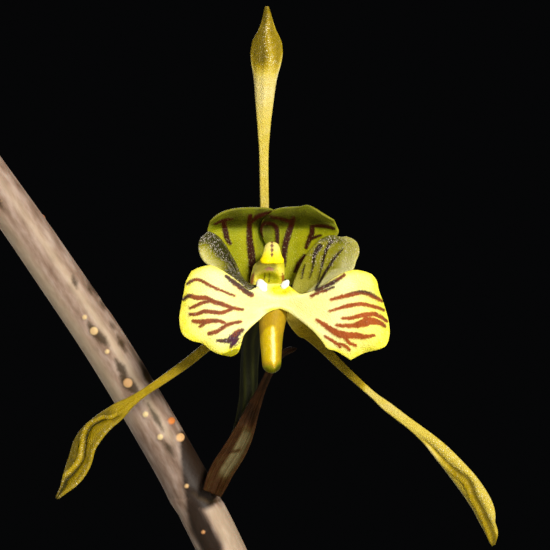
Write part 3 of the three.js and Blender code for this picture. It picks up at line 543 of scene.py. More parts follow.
RIGHT_HALF = [[0, 0.75], [0.05, 0.92], [0.1, 0.9], [0.15, 0.55], [0.3, 0.4], [0.39, 0.34], [0.46, 0.5],
              [0.54, 0.5], [0.62, 0.66], [0.71, 0.89], [0.815, 1.12], [0.87, 1.12], [0.94, 0.7], [1, 0.14]]
LEFT_FOLD = [[0.6, 0.5], [0.65, 0.1], [0.68, -0.55], [0.72, -0.73], [0.76, -0.55], [0.79, -0.23], [0.83, -0.1],
             [0.89, -0.45], [0.93, -0.9]]
RIGHT_FOLD = [[0.58, -1], [0.63, -0.73], [0.68, -0.6], [0.72, -0.4], [0.755, -0.12], [0.785, 0.12], [0.81, 0],
              [0.85, -0.25], [0.9, -0.2], [0.97, 0.1]]


def flower_place(at_point, turn=0.0, size=1.0):
    """Where a flower's own frame stands: scaled, turned about the upright, then moved to the mouth of its lip."""
    c, s = math.cos(math.radians(turn)), math.sin(math.radians(turn))
    return lambda p: size * p @ np.array([[c, s, 0], [-s, c, 0], [0, 0, 1]]) + np.array(at_point, float)


def dorsal_paint(s, a, off):
    """Straw claw, pale granular neck, olive limb painted a little lighter towards its right as light falls, a darker
    band just left of the keel, a painted highlight streak with glints beside the keel, and pale rims at its foot.
    """
    limb = smooth((s - 0.73) / 0.08)
    streak = ridge(a - 0.14 - 0.12 * np.sin(26 * s), 0.24) * limb * (1 - 0.75 * smooth((s - 0.93) / 0.05))
    foot = ridge(np.abs(a) - 0.95, 0.14) * (ridge(s - 0.79, 0.05) + 0.8 * ridge(s - 0.93, 0.04))
    tone = 0.24 - 0.12 * ridge(s - 0.69, 0.08) + limb * (0.44 - 0.05 * a) + 0.14 * ridge(a + 0.1, 0.3) * limb
    return tone - 0.26 * streak - 0.4 * foot, 0.14 + 0.3 * ridge(s - 0.7, 0.09) + 0.8 * streak + 0.3 * foot


def left_paint(s, a, off):
    """Claw painted dark olive near the lip as its shadow, turning golden further out; then an inner flap painted
    dark olive as shade, a painted highlight on the fold, a hollow painted dark as shade, and a golden outer flap.
    """
    limb = smooth((s - 0.6) / 0.07)
    side = smooth((off + 0.06) / 0.12)
    outer = 1.0 - 0.4 * smooth((off - 0.1) / 0.75)
    folded = (0.84 - 0.06 * a) * (1 - side) + outer * side - 0.38 * ridge(off + 0.14, 0.11)
    claw = 0.68 - 0.12 * smooth((s - 0.28) / 0.2)
    return claw + (folded - claw) * limb, 0.1 + 0.35 * (ridge(off + 0.12, 0.15) + ridge(a - 0.85, 0.3)) * limb


def right_paint(s, a, off):
    """Claw painted dark olive where the lip's shadow lies on it, with a lighter lobe at its foot, then bright yellow
    beyond, partly a painted highlight; a pale granular limb, and a fold painted dark as shade above a golden flap
    with a pale rim.
    """
    claw = 0.7 - 0.34 * ridge(s - 0.06, 0.05) - 0.5 * smooth((s - 0.34) / 0.04) + 0.06 * smooth((s - 0.45) / 0.1)
    limb = smooth((s - 0.56) / 0.1)
    folded = 0.3 + 0.14 * smooth((-off - 0.1) / 0.2) + 0.55 * ridge(off - 0.08, 0.22) - 0.45 * ridge(a + 1, 0.3)
    return claw + (folded - claw) * limb, (0.14 + 0.45 * limb * smooth((off - 0.3) / 0.3)) * smooth((s - 0.33) / 0.05)


def sepal(name, points, halves, side, share, sign, place, rows, columns, nodes, paint, fold=((0, 9), (1, 9))):
    """A ribbon along its line: boat section, a midrib on the keel, granular cells, and a fold where one is seen."""
    s, t = np.linspace(0, 1, rows), spread(columns)
    half = profile(halves, s)
    wide = half[:, None]
    open_ = smooth((s - 0.5) / 0.2)[:, None]
    off = ((2 * t - 1)[None, :] - profile(fold, s)[:, None]) * wide
    within = (smooth((s - fold[0][0]) / 0.06) * (1 - smooth((s - fold[-1][0]) / 0.04)))[:, None]

    def bow(u, a):
        keel = 0.16 * ridge(a * wide, 0.16) * smooth((u - 0.45) / 0.25) * np.minimum(1, wide) * (1 - 0.8 * within)
        veins = 0.02 * np.cos(a * wide * 9) * open_
        fold_in = within * (0.4 * ridge(off - 0.3, 0.3) - 0.14 * ridge(off + 0.16, 0.14))
        return sign * (-share * wide * a * a * open_ + keel + veins) + fold_in

    middle = ribbon(points, s, t, side(s), half, bow)
    # Each paint gives the tone, with its painted light and shade, and the share of cells with painted glints.
    tone, gleam = paint(s[:, None], (2 * t - 1)[None, :], off)
    return blade(name, middle, thickness(s, t, 0.5, 0.12), sepal_skin, place, nodes=nodes, slot="sepal",
                 tone=np.clip(tone, 0, 1), mark=FAR, fleck=0.06, gleam=gleam)


def side_turn(sign):
    """The way a side sepal's width points: up its slope at the claw, and tilted forward on the limb."""
    return lambda s: unit(cast(0.7, -0.5 * smooth((s - 0.55) / 0.4), 0.7 * sign))


def three_sepals(prefix, place, grain, nodes):
    """The upright sepal and the two that spread below the lip, on grids scaled by grain."""
    rows, columns = int(190 * grain), max(9, int(32 * grain))
    sepal(prefix + "_dorsal_sepal", DORSAL_LINE, DORSAL_HALF, lambda s: np.array([1.0, 0, 0]) + 0 * s[:, None], 0.5, 1,
          place, rows, columns, nodes[:1], dorsal_paint)
    sepal(prefix + "_left_sepal", LEFT_LINE, LEFT_HALF, side_turn(-1), 0.45, 1, place, rows, columns,
          nodes[1:2], left_paint, LEFT_FOLD)
    sepal(prefix + "_right_sepal", RIGHT_LINE, RIGHT_HALF, side_turn(1), 0.45, -1, place, rows, columns,
          nodes[2:3], right_paint, RIGHT_FOLD)


front_place = flower_place(FLOWER)
three_sepals("front", front_place, 1.0, ["front_sepal_dorsal", "front_sepal_left", "front_sepal_right"])
print(MADE[-3:])

# %% [markdown]
# ## The petals
# Two broad petals lean together over the column as a hood. Each is a surface stretched between its four outline
# lines, bent forward towards the top, with the top margin curled out so that a shadow lies under it. Dark brown
# veins run down from the margin: they are strokes with a width, and the mesh carries the distance to the nearest one.

# %% The hood of petals
# Outlines and strokes are x and z in mm. A stroke is its widths from end to end, then its points.
PETAL_LEFT = dict(
    root=[[-1.8, -0.1], [-1.4, 0.5], [-0.85, 1]],
    low=[[-1.8, -0.1], [-3.1, 1], [-4.6, 2.9], [-5.8, 4.4], [-6.25, 5.4], [-6, 6.4]],
    high=[[-0.85, 1], [-0.35, 2.5], [0.1, 4.4], [0.45, 6], [0.7, 7.3]],
    margin=[[-6, 6.4], [-5.2, 7.05], [-4.2, 7.5], [-3, 7.72], [-1.8, 7.78], [-0.5, 7.75], [0.2, 7.62], [0.7, 7.3]])
PETAL_RIGHT = dict(
    root=[[2, -0.1], [1.6, 0.5], [1.05, 1]],
    low=[[2, -0.1], [3.3, 1.3], [4.9, 3.2], [6.2, 4.4], [6.85, 5.3], [6.4, 6.5]],
    high=[[1.05, 1], [0.4, 2.5], [-0.5, 4.2], [-1, 5.4], [-0.85, 6.3], [-0.1, 7.1]],
    margin=[[6.4, 6.5], [5.2, 7.2], [4.3, 7.8], [3.7, 8.02], [3, 7.88], [2, 7.82], [1.1, 7.72], [0.4, 7.5],
            [-0.1, 7.1]])
LEFT_VEINS = [([0.45, 0.5, 0.3], [[-4.7, 6.5], [-4.6, 5.5], [-4.4, 4.7], [-4.1, 4.2]]),
              ([0.12, 0.25, 0.12], [[-5.6, 6.2], [-4.8, 6.6], [-3.8, 6.8]]),
              ([0.4, 0.45, 0.7, 0.75, 0.5, 0.4], [[-2.1, 7], [-2.2, 5.5], [-2.1, 4], [-1.9, 2.5], [-1.9, 1.7],
                                                  [-2, 0.5], [-2.1, -0.3]]),
              ([0.35, 0.3, 0.15], [[-1.9, 6.6], [-1.3, 7], [-0.6, 7.25], [0.3, 7.45]])]
RIGHT_VEINS = [([0.45, 0.55, 0.45, 0.3], [[2.3, 6.8], [2.1, 6], [1.8, 5], [1.5, 3.8], [1.4, 2.7], [1.4, 2]]),
               ([0.15, 0.3, 0.4], [[0.1, 6.95], [1, 6.85], [1.7, 6.65], [2.2, 6.5]]),
               ([0.2, 0.3, 0.25, 0.35, 0.4, 0.3], [[-0.8, 4.9], [-0.95, 5.5], [-0.85, 6.05], [-0.4, 6.37], [0.37, 6.22],
                                                   [0.67, 5.7], [0.74, 4.3]]),
               ([0.4, 0.5, 0.3], [[4.3, 6], [4.3, 5.2], [4, 4.5], [3.7, 3.8]]),
               ([0.3, 0.15], [[4.3, 4.7], [5.2, 5]]),
               ([0.4, 0.4, 0.3], [[3.5, 2.9], [2.9, 2.1], [2.5, 1.4]]),
               ([0.2, 0.35, 0.2], [[4.3, 6], [4.9, 6.1], [5.7, 6], [6.5, 5.7]])]


def petal(name, edges, veins, place, rows, columns, nodes):
    """A patch bent into a hood that comes forward near the top. At the middle one petal lies behind the other."""
    s, t = spread(rows), spread(columns)
    flat = patch(edges, s, t)
    x, z = flat[..., 0], flat[..., 1]
    lay = reach(cast(x, 0, z))
    behind = 0.4 if edges is PETAL_LEFT else -0.25
    margin = (1 - s)[:, None] * 7.0
    mark = to_strokes(x, z, veins)
    depth = (2.6 - 1.9 * smooth((z - 5.6) / 2.3) - 0.045 * x * x * smooth(z / 5)
             + behind * smooth((2.6 - np.abs(x)) / 1.2) - 0.14 * ridge(margin - 0.8, 0.3)
             - 0.05 * ridge(np.maximum(mark, 0), 0.12))
    middle = cast(x, depth, z)
    # Painted shade and light in the tone: it darkens up the hood, partly its darker olive and partly painted shade
    # where the hood turns down from the lamp; it darkens as painted shade under the arch where the petals meet; it is
    # lighter along the top margin as painted light; and the lit lower part gets most of the painted glints.
    painted_arch_shade = ridge(np.hypot((x + 0.2) / 1.6, (z - 5.0) / 2), 0.85)
    tone = (0.92 - 0.72 * smooth((z - 4.9) / 1.7) + 0.16 * ridge(margin - 0.2, 0.3) - 0.4 * painted_arch_shade
            + 0.06 * np.sin(2.1 * x))
    low = (1 - smooth((z - 4.6) / 2)) * (1 - painted_arch_shade)
    return blade(name, middle, thickness(s, t, 0.5, 0.12), petal_skin, place, nodes=nodes, slot="petal", lay=lay,
                 tone=np.clip(tone, 0.05, 1), mark=mark - 0.02, dark=0.2, fleck=0.12, gleam=0.05 + 0.22 * low)


def two_petals(prefix, place, grain, nodes):
    """Both petals of a flower, on grids scaled by grain."""
    rows, columns = int(92 * grain), int(80 * grain)
    petal(prefix + "_left_petal", PETAL_LEFT, LEFT_VEINS, place, rows, columns, nodes[:1])
    petal(prefix + "_right_petal", PETAL_RIGHT, RIGHT_VEINS, place, rows, columns, nodes[1:])


two_petals("front", front_place, 1.0, ["front_petal_left", "front_petal_right"])
print(MADE[-2:])

# %% [markdown]
# ## The lip
# The showy piece: two broad yellow segments like spread wings, an upright ear on each side of the mouth, two short
# white ridges, and a hanging spur that holds the nectar. The wings are one sheet here, so that no seam crosses the
# middle. Each red-brown stripe is a stroke in millimetres that swells and thins as the pigment does.

# %% Outlines and stripes of the lip
LIP_LEFT = dict(
    root=[[0.95, -2.35], [0.95, -1.1], [0.95, 0.15]],
    low=[[0.95, -2.35], [-0.2, -2.75], [-1.1, -3.5], [-2, -4.3], [-2.6, -5], [-2.9, -6], [-3.2, -6.75], [-3.8, -7.1]],
    high=[[0.95, 0.15], [-0.3, 0.1], [-1.3, -0.2], [-2.1, -0.5], [-3, 0.2], [-4, 0.95], [-5, 1.6], [-5.9, 1.95],
          [-7, 1.75], [-7.8, 1.4]],
    margin=[[-3.8, -7.1], [-4.7, -6.95], [-5.8, -6.5], [-6.7, -5.8], [-7.8, -5.5], [-8.65, -4.9], [-9, -3.4],
            [-8.85, -2.2], [-8.55, -0.7], [-8.35, 0.3], [-7.8, 1.4]])
LIP_RIGHT = dict(
    root=[[0.95, -2.35], [0.95, -1.1], [0.95, 0.15]],
    low=[[0.95, -2.35], [1.9, -2.75], [2.7, -3.3], [3.5, -3.9], [4.4, -4.7], [5.1, -5.5], [5.7, -6.3], [6.6, -6.6],
         [7.3, -7], [8, -7.45]],
    high=[[0.95, 0.15], [1.7, 0.05], [2.3, -0.4], [3, -0.85], [4.1, -0.65], [5.2, -0.1], [6.3, 0.65], [7.3, 1.2],
          [8.3, 1.5], [9.2, 1.4], [10.1, 1.1]],
    margin=[[8, -7.45], [8.8, -7], [9.6, -6.65], [10.7, -6.4], [11.5, -6], [11.85, -5], [11.8, -3.8], [11.3, -1.9],
            [10.8, -0.5], [10.6, 0.4], [10.1, 1.1]])
EAR_LEFT = dict(
    root=[[-1.5, -0.45], [-1.8, -0.1]],
    low=[[-1.5, -0.45], [-2, -0.5], [-3, 0.2], [-4, 0.95], [-5, 1.6], [-6, 1.98], [-6.7, 2.6], [-7.05, 3.5],
         [-7, 4.4], [-6.6, 5]],
    high=[[-1.8, -0.1], [-2.6, 0.4], [-3.05, 1.1], [-3.4, 2.1], [-3.9, 3.05], [-4.4, 3.95], [-5.1, 4.8], [-5.7, 5.2]],
    margin=[[-6.6, 5], [-6.1, 5.3], [-5.7, 5.2]])
EAR_RIGHT = dict(
    root=[[4.3, -0.6], [3.2, -0.85], [2.1, -0.5]],
    low=[[4.3, -0.6], [5.2, -0.1], [6.3, 0.65], [7.3, 1.2], [8.2, 1.5], [8.5, 2.3], [8.85, 3.3], [8.7, 4.1],
         [8.3, 4.55], [7.6, 4.85]],
    high=[[2.1, -0.5], [2.4, 0.4], [2.8, 1.4], [3.5, 2.8], [4.2, 3.75], [4.9, 4.45], [5.6, 4.8]],
    margin=[[7.6, 4.85], [6.9, 4.78], [6.3, 4.92], [5.6, 4.8]])
LIP_STRIPES = [
    ([0.2, 0.2, 0.1], [[-8.2, 0.1], [-7.8, 0.4], [-7.3, 0.55], [-6.8, 0.45], [-6.2, 0.1], [-5.5, -0.3], [-4.5, -0.7],
                       [-3.6, -1.05]]),
    ([0.2, 0.45, 0.4], [[-4.4, 0.9], [-3.8, 0.4], [-3, -0.2], [-2.4, -0.7], [-1.9, -1]]),
    ([0.25, 0.4, 0.35, 0.2], [[-8.6, -1.4], [-8, -1.05], [-7.3, -1.25], [-6.3, -1.3], [-5.6, -1.65], [-4.8, -1.9],
                              [-3.8, -2.3], [-2.8, -2.45]]),
    ([0.15, 0.3, 0.2], [[-7.9, -2.3], [-7.3, -2.05], [-6.7, -1.75], [-6, -1.6]]),
    ([0.2, 0.32, 0.3, 0.2], [[-7.9, -2.9], [-7.3, -2.9], [-6.5, -2.65], [-5.7, -2.7], [-4.8, -2.75], [-4.1, -2.5],
                             [-3.6, -2.3]]),
    ([0.25, 0.42, 0.3, 0.2], [[-7.6, -3.6], [-6.8, -3.65], [-5.8, -3.6], [-5.1, -3.6], [-4.5, -3.8]]),
    ([0.2, 0.3], [[-6.9, -4.1], [-6.4, -3.7]]),
    ([0.3, 0.25, 0.2], [[-6, -4.8], [-5.3, -4.6], [-4.8, -4.3], [-4.4, -4], [-3.8, -3.8], [-3, -3.65]]),
    ([0.2, 0.5, 0.6, 0.3], [[-5.2, -5.5], [-4.2, -5.5], [-3.7, -5.2], [-3.2, -4.7], [-2.8, -4.5]]),
    ([0.2, 0.5], [[-3.9, -6.1], [-3.4, -5.4]]),
    ([0.2, 0.35, 0.35], [[7.4, 1], [6.7, 0.5], [6, 0.1], [5.3, -0.25], [4.7, -0.5]]),
    ([0.1, 0.25, 0.2], [[6.4, -0.2], [5.7, -0.5], [5, -0.7], [4.2, -1.1]]),
    ([0.15, 0.35, 0.35, 0.2], [[6.1, -1.45], [6.8, -1.25], [7.6, -1.05], [8.4, -0.85], [9.1, -0.7], [9.7, -0.8],
                               [10.3, -1.1], [10.8, -1.4], [11.1, -1.6]]),
    ([0.1, 0.3, 0.3, 0.2], [[6, -2.6], [6.8, -2.35], [7.6, -2.1], [8.4, -1.95], [9, -1.9], [9.8, -2], [10.6, -2.2],
                            [11.3, -2.5]]),
    ([0.15, 0.35, 0.4, 0.2], [[7.2, -3.3], [8, -3.3], [8.6, -3.15], [9.2, -3], [9.8, -2.95], [10.4, -2.9],
                              [11, -3.2], [11.6, -3.6]]),
    ([0.2, 0.35, 0.8, 0.5, 0.2], [[6.7, -4], [7.5, -4.05], [8.5, -4], [9.2, -3.8], [9.8, -3.6], [10.5, -3.65],
                                  [11, -3.8], [11.4, -4.1]]),
    ([0.3, 0.5], [[9.4, -3.2], [9.7, -3.6]]),
    ([0.2, 0.4, 0.6, 0.5, 0.2], [[4.7, -3.5], [5.2, -3.8], [5.8, -4.2], [6.4, -4.6], [7.1, -4.9], [7.8, -5],
                                 [8.6, -5], [9.4, -5.1], [10.3, -5]]),
    ([0.3, 0.2], [[7.2, -5], [7.6, -5.3], [7.9, -5.7], [8.5, -5.95]]),
    ([0.15, 0.25, 0.2], [[5.5, -5.1], [6.1, -5.45], [6.7, -5.8], [7, -6.1]]),
    ([0.25, 0.2], [[7, -5.8], [7.5, -6], [7.9, -6.4]])]
RIGHT_EAR_LINES = [([0.1, 0.18, 0.1], [[3.15, 0.7], [3.25, 1.4], [3.45, 2.1]]),
                   ([0.1, 0.2, 0.4, 0.5], [[4, 0.7], [4.3, 2.1], [4.45, 3.2], [4.95, 3.95]]),
                   ([0.1, 0.2, 0.28, 0.3, 0.3], [[4.9, 0.1], [5.2, 1.8], [5.45, 3], [5.8, 4], [6.2, 4.5]]),
                   ([0.2, 0.28, 0.3, 0.25, 0.1], [[4.65, -0.45], [5.3, 0.55], [5.9, 1.7], [6.5, 2.7], [7.4, 3.7]])]
SPUR_LINE = [[0.45, 0.5, -1], [0.4, 0.4, -2.4], [0.2, -0.1, -4], [0.13, -0.5, -5.5], [0.15, -0.8, -7],
             [0.2, -1.1, -8.8]]
SPUR_RADII = [1.1, 1.36, 1.38, 1.3, 1.18, 1.1, 1.02, 0.95, 0.85]


def stops(values, u):
    """A value read from evenly spaced stops, with a smooth line through them."""
    return profile(np.stack([np.linspace(0, 1, len(values)), values], -1), u)


print("stripes on the lip:", len(LIP_STRIPES), "lines on the ear:", len(RIGHT_EAR_LINES))

# %% [markdown]
# The wings are what an insect sees first. Yellow pools deepen at the throat and towards the rims, and the stripes are
# dark purple above the throat and red-brown further out, so the paint is worked out from the place on the sheet.

# %% The two wings in one sheet
def wings(name, place, rows, columns, nodes):
    """Both segments share the middle line. Out from it the sheet arches forward, bulges between, and waves a little."""
    s, t = spread(rows) ** 1.1, spread(columns)
    left, right = patch(LIP_LEFT, s, t), patch(LIP_RIGHT, s, t)
    flat = np.concatenate([left[:0:-1], right])
    out = np.concatenate([s[:0:-1], s])[:, None]
    x, z = flat[..., 0], flat[..., 1]
    mark = to_strokes(x, z, LIP_STRIPES)
    soft = np.sqrt(out ** 2 + 0.01) - 0.1
    y = (-1 - 1.8 * np.sin(1.9 * soft) - 0.35 * np.sin(math.pi * t) * np.sin(math.pi * np.minimum(1, out * 0.8))
         + 0.16 * np.sin(11 * t + 1) * out ** 2 + 0.05 * np.sin(2.4 * x + 1.3 * z) * out
         - 0.05 * ridge(np.maximum(mark, 0), 0.15))
    middle = cast(x, y, z)
    lay = reach(middle)
    lay[..., 0] = x
    lay[..., 2] = np.minimum(lay[..., 2], (1 - out) * 8)
    far = np.hypot(x - 0.9, z + 0.8)
    purple = np.clip(smooth((0.9 - np.abs(z - 0.6 + 0.1 * x)) / 0.8) + smooth((-4.9 - z) / 0.6) * (x < 0)
                     + 0.5 * smooth((1.6 - far) / 1) + 0.6 * (1 - smooth(lay[..., 2] / 1.1)) + 0.4 * (x < 0), 0, 1)
    patchy = (ridge(np.hypot((x + 3.7) / 1.2, (z + 5.4) / 0.75), 0.9)
              + 0.45 * ridge(lay[..., 2] - 0.6, 0.5) * ridge(mark, 0.5))
    pool = 1.1 * ridge(np.hypot((x - 1.05) / 1.7, (z + 0.6) / 0.65), 1.0) * (1 - smooth(far - 2))
    olive = (0.8 * ridge(np.hypot(x + 3.7, z + 6.9), 0.8)
             + 0.55 * ridge(np.hypot((x - 0.4) / 1.6, (z + 2.5) / 0.35), 0.9))
    yellow = np.clip(smooth((far - 2.5) / 9) * 0.72 + 0.35 * ridge(lay[..., 2], 0.45), 0, 0.82)
    thick = thickness(np.full(len(out), 0.5), t, 0.5, 0.14) * np.sqrt(np.clip(1 - out ** 14, 0.06, 1))
    # Painted glints: a few on every part of the sheet, more where the purple is.
    return blade(name, middle, thick, lip_skin, place, nodes=nodes, slot="lip", lay=lay,
                 tone=np.minimum(0.9, yellow + pool) + olive, mark=mark - 0.04, dark=purple,
                 fleck=0.2 * purple + patchy, gleam=0.05 + 0.12 * purple)


print("the wings' outline spans", np.ptp([p for side in (LIP_LEFT, LIP_RIGHT) for p in side["margin"]], 0), "mm")

# %% [markdown]
# The ears stand on either side of the throat and steer an insect in, over two white ridges, towards the spur. Each
# ear is a concave patch, each ridge a short rod that closes at both ends, and the spur a sack along a bent line.

# %% Ears, ridges and spur
def ear(name, edges, place, rows, columns, nodes, lines, paint):
    """A concave ear: its outer edge follows the wing and comes forward, and its middle is pushed back."""
    s, t = spread(rows), spread(columns)
    flat = patch(edges, s, t)
    x, z = flat[..., 0], flat[..., 1]
    outer = stops([-1, -1.9, -2.6, -2.8, -2.6, -2.2], s)[:, None]
    inner = stops([-0.5, -0.7, -1, -1.4, -1.8, -2], s)[:, None]
    mark = to_strokes(x, z, lines) if lines else FAR + 0 * x
    hollow = 0.9 * np.sin(math.pi * t) * np.sin(math.pi * (s * 0.9 + 0.1))[:, None]
    y = outer + (inner - outer) * t + hollow - 0.05 * ridge(np.maximum(mark, 0), 0.12)
    middle = cast(x, y, z)
    tone, fleck, gleam = paint(s[:, None], t[None, :], mark)
    return blade(name, middle, thickness(s, t, 0.48, 0.12), ear_skin, place, nodes=nodes, slot="lip",
                 tone=np.clip(tone, 0, 1), mark=mark, dark=0.6, fleck=fleck, gleam=gleam)


def left_ear_paint(s, t, mark):
    """A pale wedge outside its middle, and near black cells over the top rim, the inside and the foot: dark pigment,
    and in the hollow inside also painted shade. Painted glints sit on the dark cells, fewer inside.
    """
    pale = smooth((0.6 - t) / 0.6) * smooth((s - 0.36) / 0.2) * (1 - smooth((s - 0.74) / 0.2))
    inside = smooth((t - 0.72) / 0.2) * (1 - smooth((s - 0.75) / 0.15))
    return 0.2 + 0.7 * pale, 0.9 - 0.7 * pale, 0.6 * (1 - 0.5 * pale) * (1 - 0.8 * inside) + 0.1


def right_ear_paint(s, t, mark):
    """Olive inside with a bright foot, brown lines, a dark top rim and a pale granular zone along the outer margin,
    with painted glints on the lines, the rim and the pale zone.
    """
    pale = smooth((0.3 + 0.16 * s - t) / 0.2)
    foot = smooth((0.42 - s) / 0.35)
    top = smooth((s - 0.8) / 0.12) * smooth((t - 0.1) / 0.2)
    high = smooth((s - 0.5) / 0.35)
    near = ridge(np.maximum(mark, 0), 0.3) * smooth((s - 0.25) / 0.3)
    return (0.52 + 0.12 * foot - 0.22 * top + pale * (0.44 - 0.24 * high),
            0.5 * top + 0.3 * near + 0.5 * pale * high, 0.08 + 0.5 * near + 0.5 * top + 0.4 * pale)


def callus(name, points, radii, place, nodes):
    """A short ridge: rings along its line, wider than deep, closing to a point at both ends."""
    u = np.linspace(0, 1, 26)
    wide = stops(radii, u) * np.sqrt(np.clip(1 - (2 * u - 1) ** 8, 0.02, 1))
    rings = rings_along(dense(points), u, 18, wide * (1 + 0.08 * np.sin(19 * u)), wide * 0.9)
    return tube(name, rings, callus_skin, place, nodes=nodes, slot="lip", lay=rings, tone=0.3, mark=FAR)


def spur(name, place, grain, nodes):
    """A hanging sack: rings along a bent line, fullest below the mouth, with faint dimples and a blunt tip."""
    tip = 0.96 + 0.04 * np.sin(np.linspace(0.05, 1, 16) * math.pi / 2)
    u = np.concatenate([np.linspace(0, 0.96, int(90 * grain)), tip])
    wide = stops(SPUR_RADII, u) * np.sqrt(np.clip(1 - np.maximum(0, (u - 0.9) / 0.1) ** 2, 0.004, 1))
    rings = rings_along(dense(SPUR_LINE), u, int(56 * grain), wide)
    x, z = rings[..., 0], rings[..., 2]
    turn = around(rings.shape[1])[None, :]
    lay = cast(u[:, None] * 9, turn * 1.3, 2)
    # Painted shade and highlight: the top, under the lip, is painted ochre for the lip's shade on it, and a pale band
    # right of the middle below it is a painted highlight with painted glints.
    clear_of_lip_shade = smooth((-3.8 - z - 0.9 * (x - 0.15) ** 2) / 0.5)
    painted_highlight_band = ridge(x - 0.28 + 0.03 * (z + 4), 0.18) * clear_of_lip_shade * (1 - smooth((-8.1 - z) / 0.4))
    tone = 0.52 + (0.3 + 0.32 * smooth((x - 0.4) / 0.7) - 0.52) * clear_of_lip_shade + 0.62 * smooth((-7.4 - z) / 1.1)
    return tube(name, rings, spur_skin, place, nodes=nodes, slot="lip", lay=lay,
                tone=np.clip(tone - 0.34 * painted_highlight_band, 0, 1), mark=FAR, gleam=0.7 * painted_highlight_band * smooth((-5 - z) / 1.5))


def whole_lip(prefix, place, grain, nodes):
    """Wings, ears, ridges and spur of a lip, on grids scaled by grain."""
    wings(prefix + "_lip_wings", place, int(104 * grain), int(120 * grain), nodes)
    ear(prefix + "_left_ear", EAR_LEFT, place, int(84 * grain), int(52 * grain), nodes, [], left_ear_paint)
    ear(prefix + "_right_ear", EAR_RIGHT, place, int(84 * grain), int(66 * grain), nodes, RIGHT_EAR_LINES,
        right_ear_paint)
    callus(prefix + "_left_callus", [[-1.1, -1.1, 0.6], [-0.85, -1.2, -0.1], [-0.3, -1.05, -1.1]],
           [0.2, 0.5, 0.6, 0.45, 0.15], place, nodes)
    callus(prefix + "_right_callus", [[1.85, -1.1, 0.5], [1.55, -1.2, 0.1], [1.1, -1.05, -0.4]],
           [0.12, 0.34, 0.36, 0.15], place, nodes)
    spur(prefix + "_spur", place, grain, nodes)


whole_lip("front", front_place, 1.0, ["front_lip"])
print(MADE[-6:])

# %% [markdown]
# ## The column
# The middle of an orchid flower is one short pillar with the pollen under a cap at its tip and a sticky hollow
# below it. It is a flattened rod, pushed in where the hollow lies, with the cap as a separate piece.

# %% Column and anther cap
# Height with left and right side, height with depth, and height, half width and half depth of the cap's rings.
COLUMN_SIDES = [[0.0, -2.0, 1.35], [0.4, -2.0, 1.42], [0.9, -1.92, 1.48], [1.4, -1.8, 1.5], [2.0, -1.6, 1.46],
                [2.35, -1.2, 1.4], [2.8, -0.8, 1.25], [3.5, -0.5, 0.95], [4.0, -0.25, 0.65], [4.2, 0, 0.4]]
COLUMN_DEPTH = [[0.0, 0.95], [1.4, 0.72], [2.6, 0.45], [3.7, 0.15], [4.2, 0.02]]
CAP_RINGS = [[2.06, 0.75, 0.36], [2.2, 1.12, 0.46], [2.5, 1.2, 0.5], [2.85, 1.02, 0.5], [3.35, 0.86, 0.46],
             [3.85, 0.73, 0.4], [4.17, 0.5, 0.3], [4.34, 0.2, 0.14]]


def column(name, place, grain, nodes):
    """Rings between two side lines, flattened in depth. The front is hollow below the cap, between thin side wings."""
    z = np.linspace(0.0, 4.2, int(84 * grain))[:, None]
    side = np.array(COLUMN_SIDES)
    left, right = profile(side[:, [0, 1]], z), profile(side[:, [0, 2]], z)
    turn = around(int(68 * grain))[None, :]
    half = (right - left) / 2
    x = (left + right) / 2 + half * np.cos(turn)
    y = profile(COLUMN_DEPTH, z) + 0.62 * np.minimum(half, 1.5) * np.sin(turn)
    front = smooth(-np.sin(turn) * 2.5)
    dip = smooth((1 - np.hypot((x + 0.3) / 1.45, (z - 0.5) / 1.0)) * 1.6) * front
    beak = ridge(np.hypot((x + 0.05) / 0.5, (z - 1.6) / 0.2), 0.9) * front
    y = y + 0.42 * dip - 0.14 * beak
    rings = cast(x, y, z)
    bands = [([0.1, 0.34, 0.4, 0.3], [[-1.6, 1.2], [-1.75, 0.8], [-1.85, 0.3], [-1.95, -0.2]]),
             ([0.1, 0.3, 0.25], [[1.25, 1.15], [1.3, 0.8], [1.32, 0.3]])]
    lines = [([0.12, 0.14, 0.1], [[-0.53, 1.15], [-0.55, 0.7], [-0.55, 0.3]]),
             ([0.12, 0.14, 0.1], [[-0.07, 1.15], [-0.07, 0.7], [-0.12, 0.3]])]
    band, line = (np.where(front > 0.2, to_strokes(x, z + 0 * x, strokes), FAR) for strokes in (bands, lines))
    wings_at = ridge(np.hypot((x + 0.05) / 1.0, (z - 1.62) / 0.26), 0.9) * front
    arms = ridge(np.abs(x + 0.3) - 1.45, 0.25) * ridge(z - 1.2, 0.3) * front
    # Painted shade: the hollow is painted darker green, most at its top under the cap. Painted light: the left half is
    # painted lighter, to lift the shade that the lamp on the right leaves there. Painted glints sit on the side arms.
    hollow = dip * smooth((1.5 - z) / 0.15) * (0.35 + 0.65 * smooth((z - 0.3) / 0.7))
    return tube(name, rings, column_skin, place, nodes=nodes, slot="column", lay=cast(z, x, 2),
                tone=np.clip(0.76 - 0.46 * hollow + 0.45 * wings_at + 0.35 * arms + 0.22 * smooth(0.2 - x), 0, 1),
                mark=np.minimum(band, line), dark=line < band, fleck=2.4 * beak + 0.08, gleam=0.06 + 0.3 * arms)


